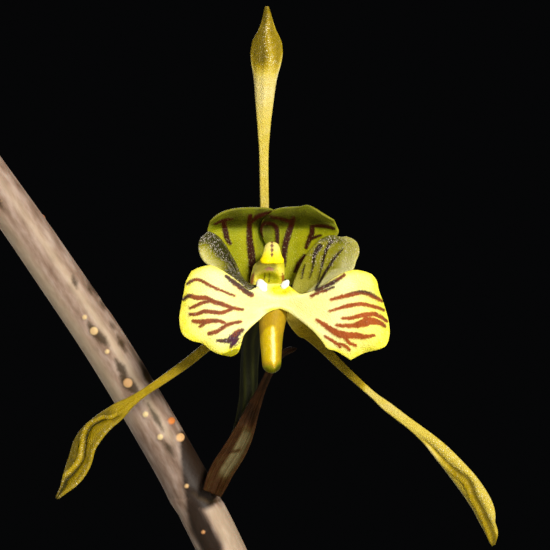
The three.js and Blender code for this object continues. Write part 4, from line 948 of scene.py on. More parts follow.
def anther_cap(name, place, nodes):
    """Rings stacked upright, with round shoulders at the foot and a fine groove down the middle of the front."""
    u = np.linspace(0, 1, 44)
    z, wide, deep = (stops(values, u)[:, None] for values in zip(*CAP_RINGS))
    close = np.sqrt(np.clip(1 - (2 * u - 1) ** 12, 0.01, 1))[:, None]
    turn = around(44)[None, :]
    x = 0.2 + wide * close * np.cos(turn)
    y = -1.75 + 0.06 * (z - 2) + deep * close * np.sin(turn) * (1 + 0.1 * np.cos(2 * turn))
    groove = ridge(x - 0.22, 0.09) * (np.sin(turn) < 0)
    rings = cast(x, y + 0.035 * groove, z + 0.05 * ridge(x - 0.25, 0.25) * smooth((2.5 - z) / 0.3))
    mark = np.where(np.sin(turn) < 0, np.abs(x - 0.2) - 0.1 + 0.06 * np.sin(14 * z), FAR)
    # A few painted glints on the cap's cells.
    return tube(name, rings, cap_skin, place, nodes=nodes, slot="anther_cap", lay=cast(z, x, 2),
                mark=mark + 0.3 * smooth((2.8 - z) / 0.2), tone=smooth((z - 2.5) / 1.4), fleck=0.05, gleam=0.1)


column("front_column_body", front_place, 1.0, ["front_column"])
anther_cap("front_cap", front_place, ["front_anther_cap"])
print(MADE[-2:])

# %% [markdown]
# ## The flower stem
# A tough green-mauve stalk that rises from the mix and leans left behind the flower. It is a rod along the same
# curve as its solid, with a ring at each node, thin dry sheaths low down, and corky spots and dark slits in its
# skin. Spots are raised in the mesh; slits are strokes along the stalk.

# %% Stem curve and its finish
STEM_LINE = [[11, -11, 62], [9.2, -9.6, 86], [4.5, -6.5, 110], [-2.5, -3, 135], [-11, -0.9, 159],
             [-19, 0, 177.8], [-23, 0, 185.5], [-30.4, 0, 198], [-37.4, 0, 208.4], [-50.3, 0, 227.5],
             [-62, 0, 252], [-68, 0, 273], [-71, 0, 290], [-73, 0, 304], [-74.4, 0, 318]]
STEM_RADII = [2.9, 2.8, 2.65, 2.5, 2.42, 2.38, 2.36, 2.3, 2.22, 2.05, 1.8, 1.55, 1.35, 1.15, 0.75]
NODE_HEIGHTS = [92, 124, 152, 184, 228, 252, 273, 288, 298, 306, 312]
SHEATHS = [92, 124, 152]
stem_line = dense(STEM_LINE)
STEM_LONG = gone(stem_line)[-1]


def stem_at(height):
    """The share of the stem's length at a height, read back from its points."""
    u = np.linspace(0, 1, 2000)
    return np.interp(height, at(stem_line, u)[:, 2], u)


def stem_radius(u):
    """The stem's radius at shares of its length, straight between the stops of its solid."""
    return np.interp(at(stem_line, u)[..., 2], [p[2] for p in STEM_LINE], STEM_RADII)


def stem_finish():
    """Green skin under a mauve bloom: soft clouds, cream where fleck is high, as painted light, dark brown where dark
    is, for stains, painted shade and the stem's foot, near black slits where mark is low, and corky spots where
    tone, the distance to one, is low, from cream to orange by hue."""
    skin, add, shader = finish("stem_skin", Roughness=0.5, Subsurface_Weight=0.08, Subsurface_Scale=0.0006,
                                Specular_IOR_Level=0.14)
    lay = add("Attribute", attribute_name="lay").outputs["Vector"]
    tone, mark, dark, fleck, hue = (add("Attribute", attribute_name=key).outputs["Fac"]
                                    for key in ("tone", "mark", "dark", "fleck", "hue"))
    long = add("Mapping", {"Vector": lay}, Scale=(0.3, 1.0, 1))
    streak = add("TexNoise", {"Vector": long}, Scale=1.3, Detail=4.0, Roughness=0.5)
    fine = add("TexNoise", {"Vector": lay}, Scale=3.2, Detail=4.0)
    ground = add("ValToRGB", {"Fac": streak},
                 ramp=[(0.3, "#70594a"), (0.48, "#8a7364"), (0.62, "#9c877a"), (0.75, "#ac9888")])
    creamy = add("Mix", {0: fleck, 6: ground}, _7="#b6a286")
    shaded = add("Mix", {0: dark, 6: creamy}, _7="#1c1108")
    worn = add("Math", {0: fine, 2: mark}, operation="MULTIPLY_ADD", _1=0.25)
    slit = add("MapRange", {"Value": worn}, interpolation_type="SMOOTHSTEP",
               From_Min=0.4, From_Max=-0.1, To_Max=0.9)
    slitted = add("Mix", {0: slit, 6: shaded}, _7="#35260f")
    round_ = add("MapRange", {"Value": tone}, interpolation_type="SMOOTHSTEP",
                From_Min=0.1, From_Max=-0.12, To_Max=0.95)
    cork = add("Mix", {0: hue}, _6="#cdb888", _7="#c46a22")
    corky = add("Mix", {0: round_, 6: slitted, 7: cork})
    bump = add("Bump", {"Height": fine}, Strength=0.25, Distance=0.0001)
    wire(shader, {"Base Color": corky, "Normal": bump})
    return skin


stem_skin = stem_finish()
# Spots: x, z, radius and how orange, from the front flower's mouth. Slits are strokes in the same frame, and so
# are the stains that follow: their two wide strokes are painted shade that the flower casts on the stem, the two
# narrow ones real stains.
SPOTS = [[-18.9, -3.3, 0.25, 0.1], [-17.95, -4.7, 0.42, 0.2], [-16.6, -6.8, 0.25, 0.1], [-14.5, -10, 0.48, 0.4],
         [-12.7, -13.2, 0.3, 0], [-10.1, -13.9, 0.36, 0.9], [-9.2, -15.6, 0.42, 0.4], [-11.2, -15.5, 0.3, 0],
         [-8.5, -20.5, 0.22, 0.3], [-6.8, -25.2, 0.2, 0.6]]
STAIN_AND_SHADE_STROKES = [([0.5, 2.4, 3.0, 3.2], [[-9.0, -15.2], [-7.9, -17.8], [-7.4, -19.7], [-7.0, -21.4]]),
          ([0.5, 1.7, 2.2, 2.3], [[-8.4, -21.9], [-7.8, -23], [-7.1, -24.7], [-6.0, -26.8]]),
          ([0.2, 0.6, 0.2], [[-19, 1.6], [-17.6, -1]]), ([0.2, 0.8, 0.2], [[-13.2, -8], [-12, -10.2]])]
SLITS = [([0.1, 0.5, 0.1], [[-20.1, 0.9], [-19.7, -0.3]]), ([0.05, 0.25, 0.05], [[-18.6, -0.1], [-18.2, -0.9]]),
         ([0.05, 0.25, 0.05], [[-17.3, -1.7], [-16.9, -2.4]]), ([0.05, 0.3, 0.05], [[-16.3, -3.8], [-15.9, -4.5]]),
         ([0.3, 0.9, 0.8, 0.1], [[-18.5, -3.9], [-17.9, -4.8], [-17.1, -5.6], [-16.5, -6.2]]),
         ([0.1, 0.55, 0.1], [[-15.6, -5.1], [-14.7, -6.8]]),
         ([0.1, 0.85, 0.3], [[-15.8, -7.6], [-15.2, -8.5], [-14.7, -9.3]]),
         ([0.5, 1.15, 0.9, 0.1], [[-15.1, -9.3], [-14.5, -10], [-13.9, -10.6], [-13.3, -11.2]]),
         ([0.1, 0.5, 0.1], [[-12.8, -9.1], [-12.2, -10]]),
         ([0.1, 0.6, 0.1], [[-12.5, -12.1], [-11.6, -13.6], [-10.9, -14.9]]),
         ([0.1, 0.6, 0.1], [[-11, -15.9], [-10.3, -16.7], [-9.8, -17.5]]),
         ([0.1, 0.35, 0.35, 0.15], [[-7.9, -21.2], [-7, -21.8], [-5.8, -22.1], [-4.5, -21.8]])]


print("stem:", round(STEM_LONG), "mm long,", len(SPOTS), "spots and", len(SLITS), "slits seen beside the flower")

# %% [markdown]
# The stem is one rod with its rows of points closest where the picture shows it. Spots rise from the skin as domes,
# and slits are sunk. Those in the picture stand where they were measured, and seeded chance spreads the others.

# %% The stem as one rod
def stem():
    """Rings along the curve: low node rings, spots as domes, sunk slits. Its paint follows the arc and the side, with
    painted shade and light on the front near the flower.
    """
    seen = stem_at(FLOWER[2] + np.array([-28.0, 6.0]))
    u = np.concatenate([np.linspace(0, seen[0], 190)[:-1], np.linspace(*seen, 300)[:-1], np.linspace(seen[1], 1, 140)])
    sides = 64
    turn = around(sides)
    height = at(stem_line, u)[:, 2]
    radius = stem_radius(u)
    knots = sum(0.1 * ridge(height - h, 0.9) - 0.05 * ridge(height - h + 1.6, 0.5) for h in NODE_HEIGHTS)
    base = rings_along(stem_line, u, sides, radius)
    centre = at(stem_line, u)[:, None]
    arc = u[:, None] * STEM_LONG + 0 * turn
    x, z = base[..., 0] - FLOWER[0], base[..., 2] - FLOWER[2]
    side = (base[..., 0] - centre[..., 0]) / radius[:, None]
    facing = base[..., 1] < centre[..., 1] + 0.3
    seeds = np.random.default_rng(7)
    from_spots = [np.hypot(x - a, z - b) - r for a, b, r, _ in SPOTS]
    near = np.where(facing, np.min(from_spots, 0), FAR)
    hue = np.array([spot[3] for spot in SPOTS])[np.argmin(from_spots, 0)]
    free = (z < -27) | ~facing | (z > 6)

    def scattered(count, least, most):
        """Chance places on the skin: how far each point is along and round from one, its angle and its size."""
        places = (seeds.uniform(20, STEM_LONG - 30, count), seeds.uniform(0, 2 * math.pi, count),
                  seeds.uniform(least, most, count))
        for far, angle, big in zip(*places):
            yield arc - far, ((turn - angle + math.pi) % (2 * math.pi) - math.pi) * radius[:, None], angle, big

    for along, across, angle, big in scattered(80, 0.15, 0.4):
        spot = np.where(free, np.hypot(along, across) - big, FAR)
        hue = np.where(spot < near, 0.5 + 0.5 * math.sin(9 * angle), hue)
        near = np.minimum(near, spot)
    mark = np.where(facing, to_strokes(x, z, SLITS), FAR)
    for along, across, _, big in scattered(110, 0.5, 1.2):
        slit = (np.hypot(along / (1.5 * big), across / (0.42 * big)) - 1) * 0.4
        mark = np.where(free, np.minimum(mark, slit), mark)
    dome = smooth(0.5 - near / 0.2)
    # Painted shade and light, on the front near the flower only: dark darkens the right side, the lower part and the
    # wide strokes of stains as shade, and cream lightens a line right of the middle, the left side and, below the node,
    # the right side as light. The narrow strokes are real stains.
    close = facing * np.minimum(1, 1.4 * ridge(z + 14, 26))
    stain_and_shade = to_strokes(x, z, STAIN_AND_SHADE_STROKES)
    dark = (1.05 * smooth((0.35 - stain_and_shade) / 0.8) + 0.12 * smooth((side - 0.4) / 0.4)
            + 0.24 * smooth((-13 - z) / 4) * (z > -21.8)) * close
    cream = (0.5 * ridge(side - 0.3, 0.16) * smooth((z + 17) / 2)
             + 0.6 * smooth((-0.2 - side) / 0.4) * smooth((z + 16) / 5)
             + 0.45 * smooth((side - 0.05) / 0.25) * smooth((-22.2 - z) / 0.8)) * close
    ends = ridge((height[:, None] - 62) / 14, 1) * 0.3
    grow = knots[:, None] + 0.14 * dome - 0.06 * ridge(np.maximum(mark, 0), 0.2) + 0.015 * np.cos(9 * turn)[None, :]
    rings = centre + (base - centre) * (1 + grow / radius[:, None])[..., None]
    return tube("stem_body", rings, stem_skin, nodes=["flower_stem"], slot="stem",
                lay=cast(arc, turn * radius[:, None], 0), tone=np.clip(near, -1, 9), mark=mark, hue=hue,
                dark=np.clip(dark + ends, 0, 0.97), fleck=cream)


stem()
print(MADE[-1])

# %% [markdown]
# Sheaths and bracts are leaves that have dried to brown paper. Each is a thin blade wrapped round a path, with
# long veins as low ridges, a torn edge and a colour that goes from tan to red-brown between the veins.

# %% Dry paper of sheaths and bracts
def paper(name, ramp, vein="#4a2a1c", rough=0.62, glow=0.3, pitch=0.32, shine=0.3):
    """Dry bract tissue: veins across `lay` at a pitch in mm, and clouds of tan and brown."""
    skin, add, shader = finish(name, Roughness=rough, Subsurface_Weight=glow, Subsurface_Scale=0.0004,
                                Specular_IOR_Level=shine)
    lay = add("Attribute", attribute_name="lay").outputs["Vector"]
    tone = add("Attribute", attribute_name="tone").outputs["Fac"]
    cloud = add("TexNoise", {"Vector": lay}, Scale=0.8, Detail=5.0, Roughness=0.65)
    place = add("Math", {0: cloud, 2: tone}, operation="MULTIPLY_ADD", _1=0.6)
    ground = add("ValToRGB", {"Fac": place}, ramp=ramp)
    long = add("Mapping", {"Vector": lay}, Scale=(0.1, 1, 0))
    lines = add("TexWave", {"Vector": long}, bands_direction="Y", Scale=0.314 / pitch,
                Distortion=1.6, Detail=2.0, Detail_Scale=1.2).outputs["Fac"]
    thin = add("MapRange", {"Value": lines}, From_Min=0.6, From_Max=1.0, To_Max=0.3)
    veined = add("Mix", {0: thin, 6: ground}, _7=vein)
    bump = add("Bump", {"Height": lines}, Strength=0.25, Distance=0.0001)
    wire(shader, {"Base Color": veined, "Normal": bump})
    return skin


# The bract browns are darker than the dry tissue's own, as painted shade that the lip casts on the front bract; every
# bract shares them.
shaded_bract_skin = paper("dry_bract_painted_shade", [(0.3, "#160b03"), (0.5, "#301b08"), (0.75, "#3e3016"), (1, "#5a5034")], vein="#2a1404",
                   shine=0.06, glow=0.1)
husk_skin = paper("dry_husk", [(0.15, "#6a4a2c"), (0.5, "#a58458"), (1, "#cdb48a")], vein="#5a3c22", pitch=0.7)


def sheath(name, height, long, turn):
    """A sheath round the stem: its mouth opens on one side and its tip leans off the stalk."""
    s, t = np.linspace(0, 1, 44), np.linspace(0, 1, 48)
    u = stem_at(height) + s * long / STEM_LONG
    centre, along = at(stem_line, u), slope(stem_line, u)
    side = unit(np.cross(along, [0, 1, 0]))
    other = np.cross(along, side)
    angle = turn + (2 * t - 1)[None, :] * math.pi * (0.93 - 0.75 * s ** 3)[:, None]
    away = stem_radius(u)[:, None] + 0.28 + 0.9 * (s ** 4)[:, None] + 0.05 * np.sin(5 * angle + 9 * s[:, None])
    middle = off_path(centre, side, other, away * np.cos(angle), away * np.sin(angle))
    return blade(name, middle, thickness(s, t, 0.22, 0.08), husk_skin, nodes=["flower_stem"], slot="bract",
                 tone=0.2 + 0.2 * s[:, None])


for number, low in enumerate(SHEATHS):
    sheath(f"stem_sheath_{number + 1}", low, 17, 1.1 + 2.3 * number)
print(MADE[-3:])

# %% [markdown]
# ## Stalk and bract of the front flower
# Behind the spur the ovary, a ribbed stalk, runs back and down to the stem, and a papery bract clasps it. Both
# lie in the flower's own frame, as their solids do.

# %% Ovaries and bracts
STALK_RADII = [1.3, 1.3, 1, 0.92, 0.9, 0.88, 0.86, 0.82, 0.78, 0.75, 0.72, 0.72]
# These colours are darker than the ovary's own dark olive, as painted shade that the flower casts on the front ovary;
# every stalk shares them.
shaded_stalk_skin = tissue("ovary_tissue_painted_shade", [(0, "#12120a"), (0.5, "#1d1f08"), (1, "#34360e")], rim_most=0.0,
                    rough=0.5, cell=0.4, shine=0.1, glow=0.02, speck="#0e0804")


def ovary(name, line, nodes, slot, rows, sides, place=None):
    """A rod with six ribs that run along it and turn half round on the way, as an ovary twists."""
    u = np.linspace(0, 1, rows)
    turn = around(sides)
    base = rings_along(line, u, sides, stops(STALK_RADII, u), side=(1, 0, 0.02))
    centre = at(line, u)[:, None]
    ribs = 0.07 * np.cos(6 * (turn[None, :] + 2 * u[:, None]))
    rings = centre + (base - centre) * (1 + ribs)[..., None]
    lay = cast(u[:, None] * gone(line)[-1], turn, 2)
    return tube(name, rings, shaded_stalk_skin, place, nodes=nodes, slot=slot, lay=lay, tone=0.5 + 4 * ribs,
                mark=FAR, fleck=0.25)


FRONT_STALK = [[0.1, 2.3, -0.6], [0.1, 3.6, -0.6], [0, 4.9, -1.1], [-0.8, 6.2, -2.6], [-1.75, 7.4, -4.8],
               [-2.1, 8.4, -8], [-2.3, 8.9, -11.5], [-3.1, 8.9, -15], [-4.3, 8.5, -17.8], [-5.96, 8.25, -19.8]]
FRONT_BRACT = [[-5.9, 6.8, -21.2], [-4.9, 6.7, -18.9], [-3.57, 6.7, -16.8], [-2.66, 6.6, -15], [-1.95, 6.3, -13.2],
               [-1.33, 5.8, -11.7], [-0.82, 5.3, -10.5], [-0.2, 4.7, -9.15], [0.6, 4.3, -7.6], [1.5, 4.2, -6.8],
               [2.7, 4.4, -6.4]]
FRONT_BRACT_HALF = [0.95, 1.15, 1.2, 1.18, 1.1, 0.95, 0.75, 0.58, 0.4, 0.34, 0.32, 0.3, 0.26]


def front_bract():
    """A ribbon open towards the back: its bow is half its width at the margins, with low lengthwise pleats."""
    s, t = np.linspace(0, 1, 130), spread(40)
    half = stops(FRONT_BRACT_HALF, s) * (1 - 0.85 * smooth((s - 0.97) / 0.03))
    middle = ribbon(FRONT_BRACT, s, t, np.array([0.8, 0, -0.6]), half,
                    lambda u, a: 0.55 * half[:, None] * a * a + 0.02 * np.cos(14 * a + 5 * u) * half[:, None]
                    + 0.16 * ridge(u - 0.42, 0.025) * (1 - a * a))
    u, a = s[:, None], (2 * t - 1)[None, :]
    pale = (smooth((a + 0.4) / 0.35) * (1 - 0.8 * smooth((a - 0.7) / 0.25)) * smooth((u - 0.06) / 0.1)
            * smooth((0.46 - u) / 0.08))
    crease = ridge(u - 0.27 - 0.05 * a, 0.012) * ridge(a - 0.1, 0.4)
    return blade("front_bract_paper", middle, thickness(s, t, 0.3, 0.09), shaded_bract_skin, front_place,
                 nodes=["front_bract"], slot="bract",
                 tone=0.06 + 0.62 * pale - 0.4 * crease + 0.12 * smooth((0.5 - u) / 0.1) * (1 - pale))


ovary("front_stalk", dense(FRONT_STALK), ["front_ovary"], "stalk", 110, 36, front_place)
front_bract()
print(MADE[-2:])

# %% [markdown]
# ## The other flowers
# A raceme opens from below, so three more open flowers stand higher on the stem, turned their own ways. The same
# functions draw them on coarser grids. Where a stalk meets the stem it stops just short of the skin.

# %% Three more open flowers
def anchor(height, towards, clear):
    """A point off the stem's skin at a height, on the side that faces a target, and the way out of the skin there."""
    u = stem_at(height)
    centre, along = at(stem_line, u), slope(stem_line, u)
    out = np.asarray(towards, float) - centre
    out = unit(out - along * (out @ along))
    return centre + out * (stem_radius(u) + clear), out


def bract_around(name, line, long, spread_angle, stalk_wide, node):
    """A small bract under a stalk: part of a sleeve round the line that opens and narrows to its tip."""
    s, t = np.linspace(0, 1, 32), spread(20)
    u = np.clip(1 - (0.2 + s * long) / gone(line)[-1], 0, 1)
    centre, along = at(line, u), slope(line, u)
    down = np.array([0, 0, -1.0])
    down = unit(down - along * (along @ down)[:, None])
    wide = np.cross(along, down)
    angle = (2 * t - 1)[None, :] * spread_angle * (1 - 0.85 * s * s)[:, None]
    away = (stalk_wide + 0.7 + 1.6 * s * s)[:, None] + 0.05 * np.cos(9 * angle)
    middle = off_path(centre, down, wide, away * np.cos(angle), away * np.sin(angle))
    return blade(name, middle, thickness(s, t, 0.28, 0.08), shaded_bract_skin, nodes=[node], slot="bract",
                 tone=0.42 + 0.2 * s[:, None])


# Name, place of the lip's mouth, turn in degrees, height of the stalk's foot, size.
OTHERS = [("second", [-63, -11.5, 246], -14, 228, 0.98), ("third", [-51.5, 9.5, 268], 128, 252, 0.95),
          ("fourth", [-77.5, 11.5, 290], 222, 273, 0.9)]
for name, middle_of, turned, node, size in OTHERS:
    put_there = flower_place(middle_of, turned, size)
    green, yellow = [name + "_flower"], [name + "_lip"]
    three_sepals(name, put_there, 0.42, green * 3)
    two_petals(name, put_there, 0.45, green * 2)
    whole_lip(name, put_there, 0.45, yellow)
    column(name + "_column", put_there, 0.4, green)
    anther_cap(name + "_cap", put_there, green)
    hold, out = anchor(node, middle_of, 0.75)
    start = put_there(np.array(FRONT_STALK[:3]))
    knee = hold + out * 2.5 + [0, 0, 1.5]
    back = put_there(np.array([[0, 1.3, -1.6]]))[0] - np.array(middle_of)
    path = dense(np.vstack([start, (start[2] + knee) / 2 + back, knee, hold]))
    ovary(name + "_stalk", path, green, "petal", 50, 24)
    bract_around(name + "_bract_paper", path, 11 * size, 1.5, 0.75 * size, name + "_bract")
print("pieces so far:", len(MADE), "triangles:", sum(n for _, n in MADE))

# %% [markdown]
# ## The buds
# Above the open flowers the buds get smaller towards the tip. A bud is the three sepals closed edge to edge, so its
# section has three soft keels with grooves between them, and it narrows to a point at both ends.

# %% Buds
bud_skin = tissue("bud_tissue", [(0, "#7c8420"), (0.5, "#a3a436"), (1, "#c2b45a")], rim_most=0.0,
                  stripe="#7d4a2a", dusk="#5a2a24", rough=0.4)
# Height on the stem, heading, length, radius, length of stalk; the last stands on the tip.
BUDS = [(288, -50, 13, 2.9, 12), (298, 35, 10.5, 2.4, 9), (306, 235, 8.5, 2.0, 7), (312, -10, 6.5, 1.6, 4.5),
        (319, 90, 6, 1.5, 0)]


def bud_head(name, line, radius, node):
    """Rings whose radius follows a sine bump, with three keels and three narrow grooves between the sepals."""
    u = np.linspace(0, 1, 60)
    turn = around(48)
    wide = radius * np.sin(math.pi * np.minimum(1, 0.08 + 0.9 * u)) ** 0.75
    wide = np.maximum(wide, 0.03) * np.sqrt(np.clip(1 - ((u - 0.97) / 0.03).clip(0) ** 2, 0.01, 1))
    base = rings_along(line, u, 48, wide, side=(0.9, 0.4, 0.1))
    centre = at(line, u)[:, None]
    twist = turn[None, :] + 0.5 * u[:, None]
    keels = 0.06 * np.cos(3 * twist) - 0.07 * np.maximum(0, np.cos(3 * twist + math.pi)) ** 24
    rings = centre + (base - centre) * (1 + keels)[..., None]
    groove = np.maximum(0, np.cos(3 * twist + math.pi)) ** 10
    lay = cast(u[:, None] * gone(line)[-1], twist * wide[:, None], 2)
    return tube(name, rings, bud_skin, nodes=[node], slot="bud", lay=lay, tone=0.35 + 0.5 * u[:, None] + 2 * keels,
                mark=0.3 - 0.25 * groove, fleck=0.3)


for number, (node, turned, long, radius, stalk) in enumerate(BUDS, 1):
    out = heading(turned)
    key = f"bud_{number}"
    if stalk == 0:
        top = at(stem_line, 1.0)
        bud_head(key + "_head", dense([top + [-0.05, 0, 0.35], top + [-0.6, 0, long + 0.35]]), radius, key)
        continue
    hold, off = anchor(node, at(stem_line, stem_at(node)) + out * 20, 0.6)
    knee = hold + off * 0.45 * stalk + [0, 0, 0.3 * stalk]
    foot = hold + off * 0.7 * stalk + [0, 0, 0.85 * stalk]
    tip = foot + out * 0.45 * long + [0, 0, 0.89 * long]
    path = dense([foot + (tip - foot) * 0.12, foot, knee, hold])
    bud_head(key + "_head", dense([foot, (foot + tip) / 2, tip]), radius, key)
    u = np.linspace(0, 1, 26)
    rings = rings_along(path, u, 16, 0.32 * radius, side=(1, 0, 0.02))
    tube(key + "_stalk", rings, shaded_stalk_skin, nodes=[key], slot="stalk", lay=rings, tone=0.5, mark=FAR, fleck=0.2)
    bract_around(key + "_bract_paper", path, 0.7 * stalk + 1, 1.3, 0.32 * radius, f"bud_bract_{number}")
print("pieces so far:", len(MADE), "triangles:", sum(n for _, n in MADE))

# %% [markdown]
# ## Leaves
# Thick, arching leaves on channelled stalks, with waved margins, long parallel veins and the pale marbling that
# small ground orchids of this kind carry. Each is a ribbon along an arch; the marbling and veins follow its `lay`.

# %% Leaf finish
def leaf_finish():
    """Waxed leaf: dark green marbled with grey-green, fine parallel veins, a paler underside and a thin pale rim."""
    skin, add, shader = finish("leaf_skin", Roughness=0.44, Subsurface_Weight=0.08, Subsurface_Scale=0.0008,
                                Specular_IOR_Level=0.32)
    lay = add("Attribute", attribute_name="lay").outputs["Vector"]
    face, tone = (add("Attribute", attribute_name=key).outputs["Fac"] for key in ("face", "tone"))
    stretched = add("Mapping", {"Vector": lay}, Scale=(0.4, 1.0, 1.0))
    blotch = add("TexNoise", {"Vector": stretched}, Scale=0.26, Detail=6.0, Roughness=0.6,
                 Distortion=0.8)
    marble = add("ValToRGB", {"Fac": blotch},
                 ramp=[(0.38, "#24401f"), (0.47, "#3a5a2c"), (0.54, "#76895c"), (0.62, "#96a37e")])
    fine = add("Mapping", {"Vector": lay}, Scale=(0.03, 1.0, 0.0))
    veins = add("TexWave", {"Vector": fine}, bands_direction="Y", Scale=0.32, Distortion=0.5,
                Detail=2.0).outputs["Fac"]
    vein = add("MapRange", {"Value": veins}, From_Min=0.7, From_Max=1.0, To_Max=0.3)
    top = add("Mix", {0: vein, 6: marble}, _7="#1c3316")
    under = add("MapRange", {"Value": face}, To_Min=0.75, To_Max=0)
    sided = add("Mix", {0: under, 6: top}, _7="#6d8050")
    stalky = add("Mix", {0: tone, 6: sided}, _7="#6c7440")
    depth = add("SeparateXYZ", {0: lay})
    edge = add("MapRange", {"Value": depth.outputs["Z"]}, From_Max=0.45, To_Min=0.5, To_Max=0)
    rimmed = add("Mix", {0: edge, 6: stalky}, _7="#8f8a58")
    grain = add("TexNoise", {"Vector": lay}, Scale=2.4, Detail=3.0)
    rise = add("Math", {0: veins, 2: grain}, operation="MULTIPLY_ADD", _1=-0.8)
    bump = add("Bump", {"Height": rise}, Strength=0.35, Distance=0.0003)
    wire(shader, {"Base Color": rimmed, "Normal": bump})
    return skin


leaf_skin = leaf_finish()

print("leaf shader nodes:", len(leaf_skin.node_tree.nodes))

# %% [markdown]
# Two leaves rise from each bulb, side by side, and arch apart. The blade opens from a channelled stalk, so its width
# and its waves grow along it. Each leaf has its own heading, length and droop, as on a plant turned in its light.

# %% Eight leaves on four bulbs
MIX_TOP, FIT, LEAF_APART = 70, 0.35, 1.65
# Bulbs: node, x, y, height, radius. Leaves: bulb, heading, length, rise, droop, half width, phase of the waves.
BULBS = [("bulb_back", 2, 5, 31, 9), ("bulb_right", 25, 8, 26, 8.2), ("bulb_left", -22, 6, 29, 8.8),
         ("bulb_front", -10, -19, 24, 7.8)]
LEAVES = [(0, 55, 58, 66, 5, 12.5, 0.4), (0, 125, 66, 60, 14, 12, 1.9), (1, -45, 72, 50, 20, 11.5, 3.1),
          (1, 25, 74, 60, 15, 12.5, 4.4), (2, 150, 62, 60, 8, 12, 5.2), (2, 215, 74, 51, 22, 12.5, 0.9),
          (3, 250, 60, 46, 16, 11, 2.6), (3, 320, 62, 56, 12, 11.5, 3.8)]
LEAF_WIDTHS = [0.1, 0.1, 0.11, 0.2, 0.48, 0.78, 0.95, 1, 0.93, 0.72, 0.4, 0.03]


def leaf(number, bulb, turned, long, rise, droop, half_most, phase):
    """A ribbon up an arch: a channel at the stalk, a keel under the middle, and margins that wave more as it opens."""
    _, bx, by, tall, _ = BULBS[bulb]
    pair = next(row[1] for row in LEAVES if row[0] == bulb and row[1] != turned)
    apart = heading((turned + pair) / 2 + (-90 if turned < pair else 90))
    out = heading(turned)
    foot = np.array([bx, by, MIX_TOP + tall + FIT]) + apart * LEAF_APART
    arch = [[0, 0], [0.012, 0.2], [0.07, 0.48], [0.22, 0.78], [0.46, 0.98], [0.72, 1], [1, 1 - droop / rise]]
    points = [foot + out * r * long + np.array([0, 0, z * rise]) for r, z in arch]
    s, t = np.linspace(0, 1, 100), spread(33)
    half = np.maximum(1 - 0.75 * smooth((s - 0.9) / 0.1), stops(LEAF_WIDTHS, s) * half_most)
    open_ = smooth((s - 0.2) / 0.25)[:, None]

    def bow(u, a):
        wave = 0.9 * np.sin(9 * math.pi * u + phase + 1.3 * smooth(a * 4 + 0.5)) * open_ * a * a
        small = 0.22 * np.sin(31 * u + 2 * phase + 3 * a) * open_ * a ** 4
        channel = -0.16 * half[:, None] * np.abs(a) ** 1.5 * (open_ + 0.5)
        return (channel + (wave + small) * (1 - 0.7 * smooth((u - 0.94) / 0.06))
                - 0.25 * ridge(a * half[:, None], 0.7) * open_)

    middle = ribbon(points, s, t, np.array([-out[1], out[0], 0]), half, bow)
    lay = reach(middle)
    lay[..., 0] += 37.0 * number  # so that no two leaves are marbled alike
    stalky = (1 - smooth((s - 0.2) / 0.12))[:, None] * 0.85
    return blade(f"leaf_blade_{number}", middle, thickness(s, t, 0.7, 0.2, 8), leaf_skin, nodes=[f"leaf_{number}"],
                 slot="leaf", lay=lay, tone=stalky)


for number, row in enumerate(LEAVES, 1):
    leaf(number, *row)
print(MADE[-1], "pieces so far:", len(MADE))

# %% [markdown]
# ## Pseudobulbs
# The swollen stem bases store water. They are ribbed, green with a purple flush, and wrapped below in the torn
# remains of old leaf sheaths, which are drawn with the same dry paper as the sheaths on the stem.

# %% Bulbs and their husks
BULB_OUTLINE = [[0, 0.72], [0.1, 0.9], [0.3, 1], [0.52, 0.95], [0.74, 0.68], [0.9, 0.42], [1, 0.3]]
BULB_FOOT, BULB_SUNK, BULB_NECK = 5.8, 7, 2.2
bulb_skin = tissue("bulb_skin", [(0, "#4c3f2a"), (0.3, "#5c6830"), (0.65, "#77853e"), (1, "#949a52")],
                   rim_most=0.0, cell=0.9, rough=0.42, relief=0.4, stripe="#5a3a3a", dusk="#5a3a3a", glow=0.08)


def bulb(name, bx, by, tall, radius, number):
    """Rings stacked from the sunk foot to the neck, with soft ribs, and shallow rings where old sheaths sat."""
    u = np.linspace(0, 1, 76)
    turn = around(64)[None, :]
    z = MIX_TOP + np.where(u < 0.12, (u / 0.12 - 1) * BULB_SUNK, (u - 0.12) / 0.88 * tall)
    share = np.clip((z - MIX_TOP) / tall, 0, 1)
    wide = np.maximum(profile(BULB_OUTLINE, share) * radius, BULB_NECK)
    wide = wide + (BULB_FOOT - wide) * np.clip(1 - (z - MIX_TOP) / 1.2, 0, 1)
    ribs = (0.035 * np.cos(6 * turn) + 0.02 * np.cos(13 * turn + number)) * smooth(share / 0.2)[:, None]
    rings_at = 0.012 * sum(ridge(share - k, 0.012) for k in (0.22, 0.5, 0.78))[:, None]
    r = wide[:, None] * (1 + ribs - rings_at)
    rings = cast(bx + r * np.cos(turn), by + r * np.sin(turn), z[:, None])
    lay = cast(z[:, None] * 0.4, turn * wide[:, None], 4)
    return tube(name + "_body", rings, bulb_skin, nodes=[name], slot="bulb", lay=lay, mark=FAR,
                tone=0.3 + 0.5 * share[:, None] + 2 * ribs, fleck=0.35 * (1 - share[:, None]))


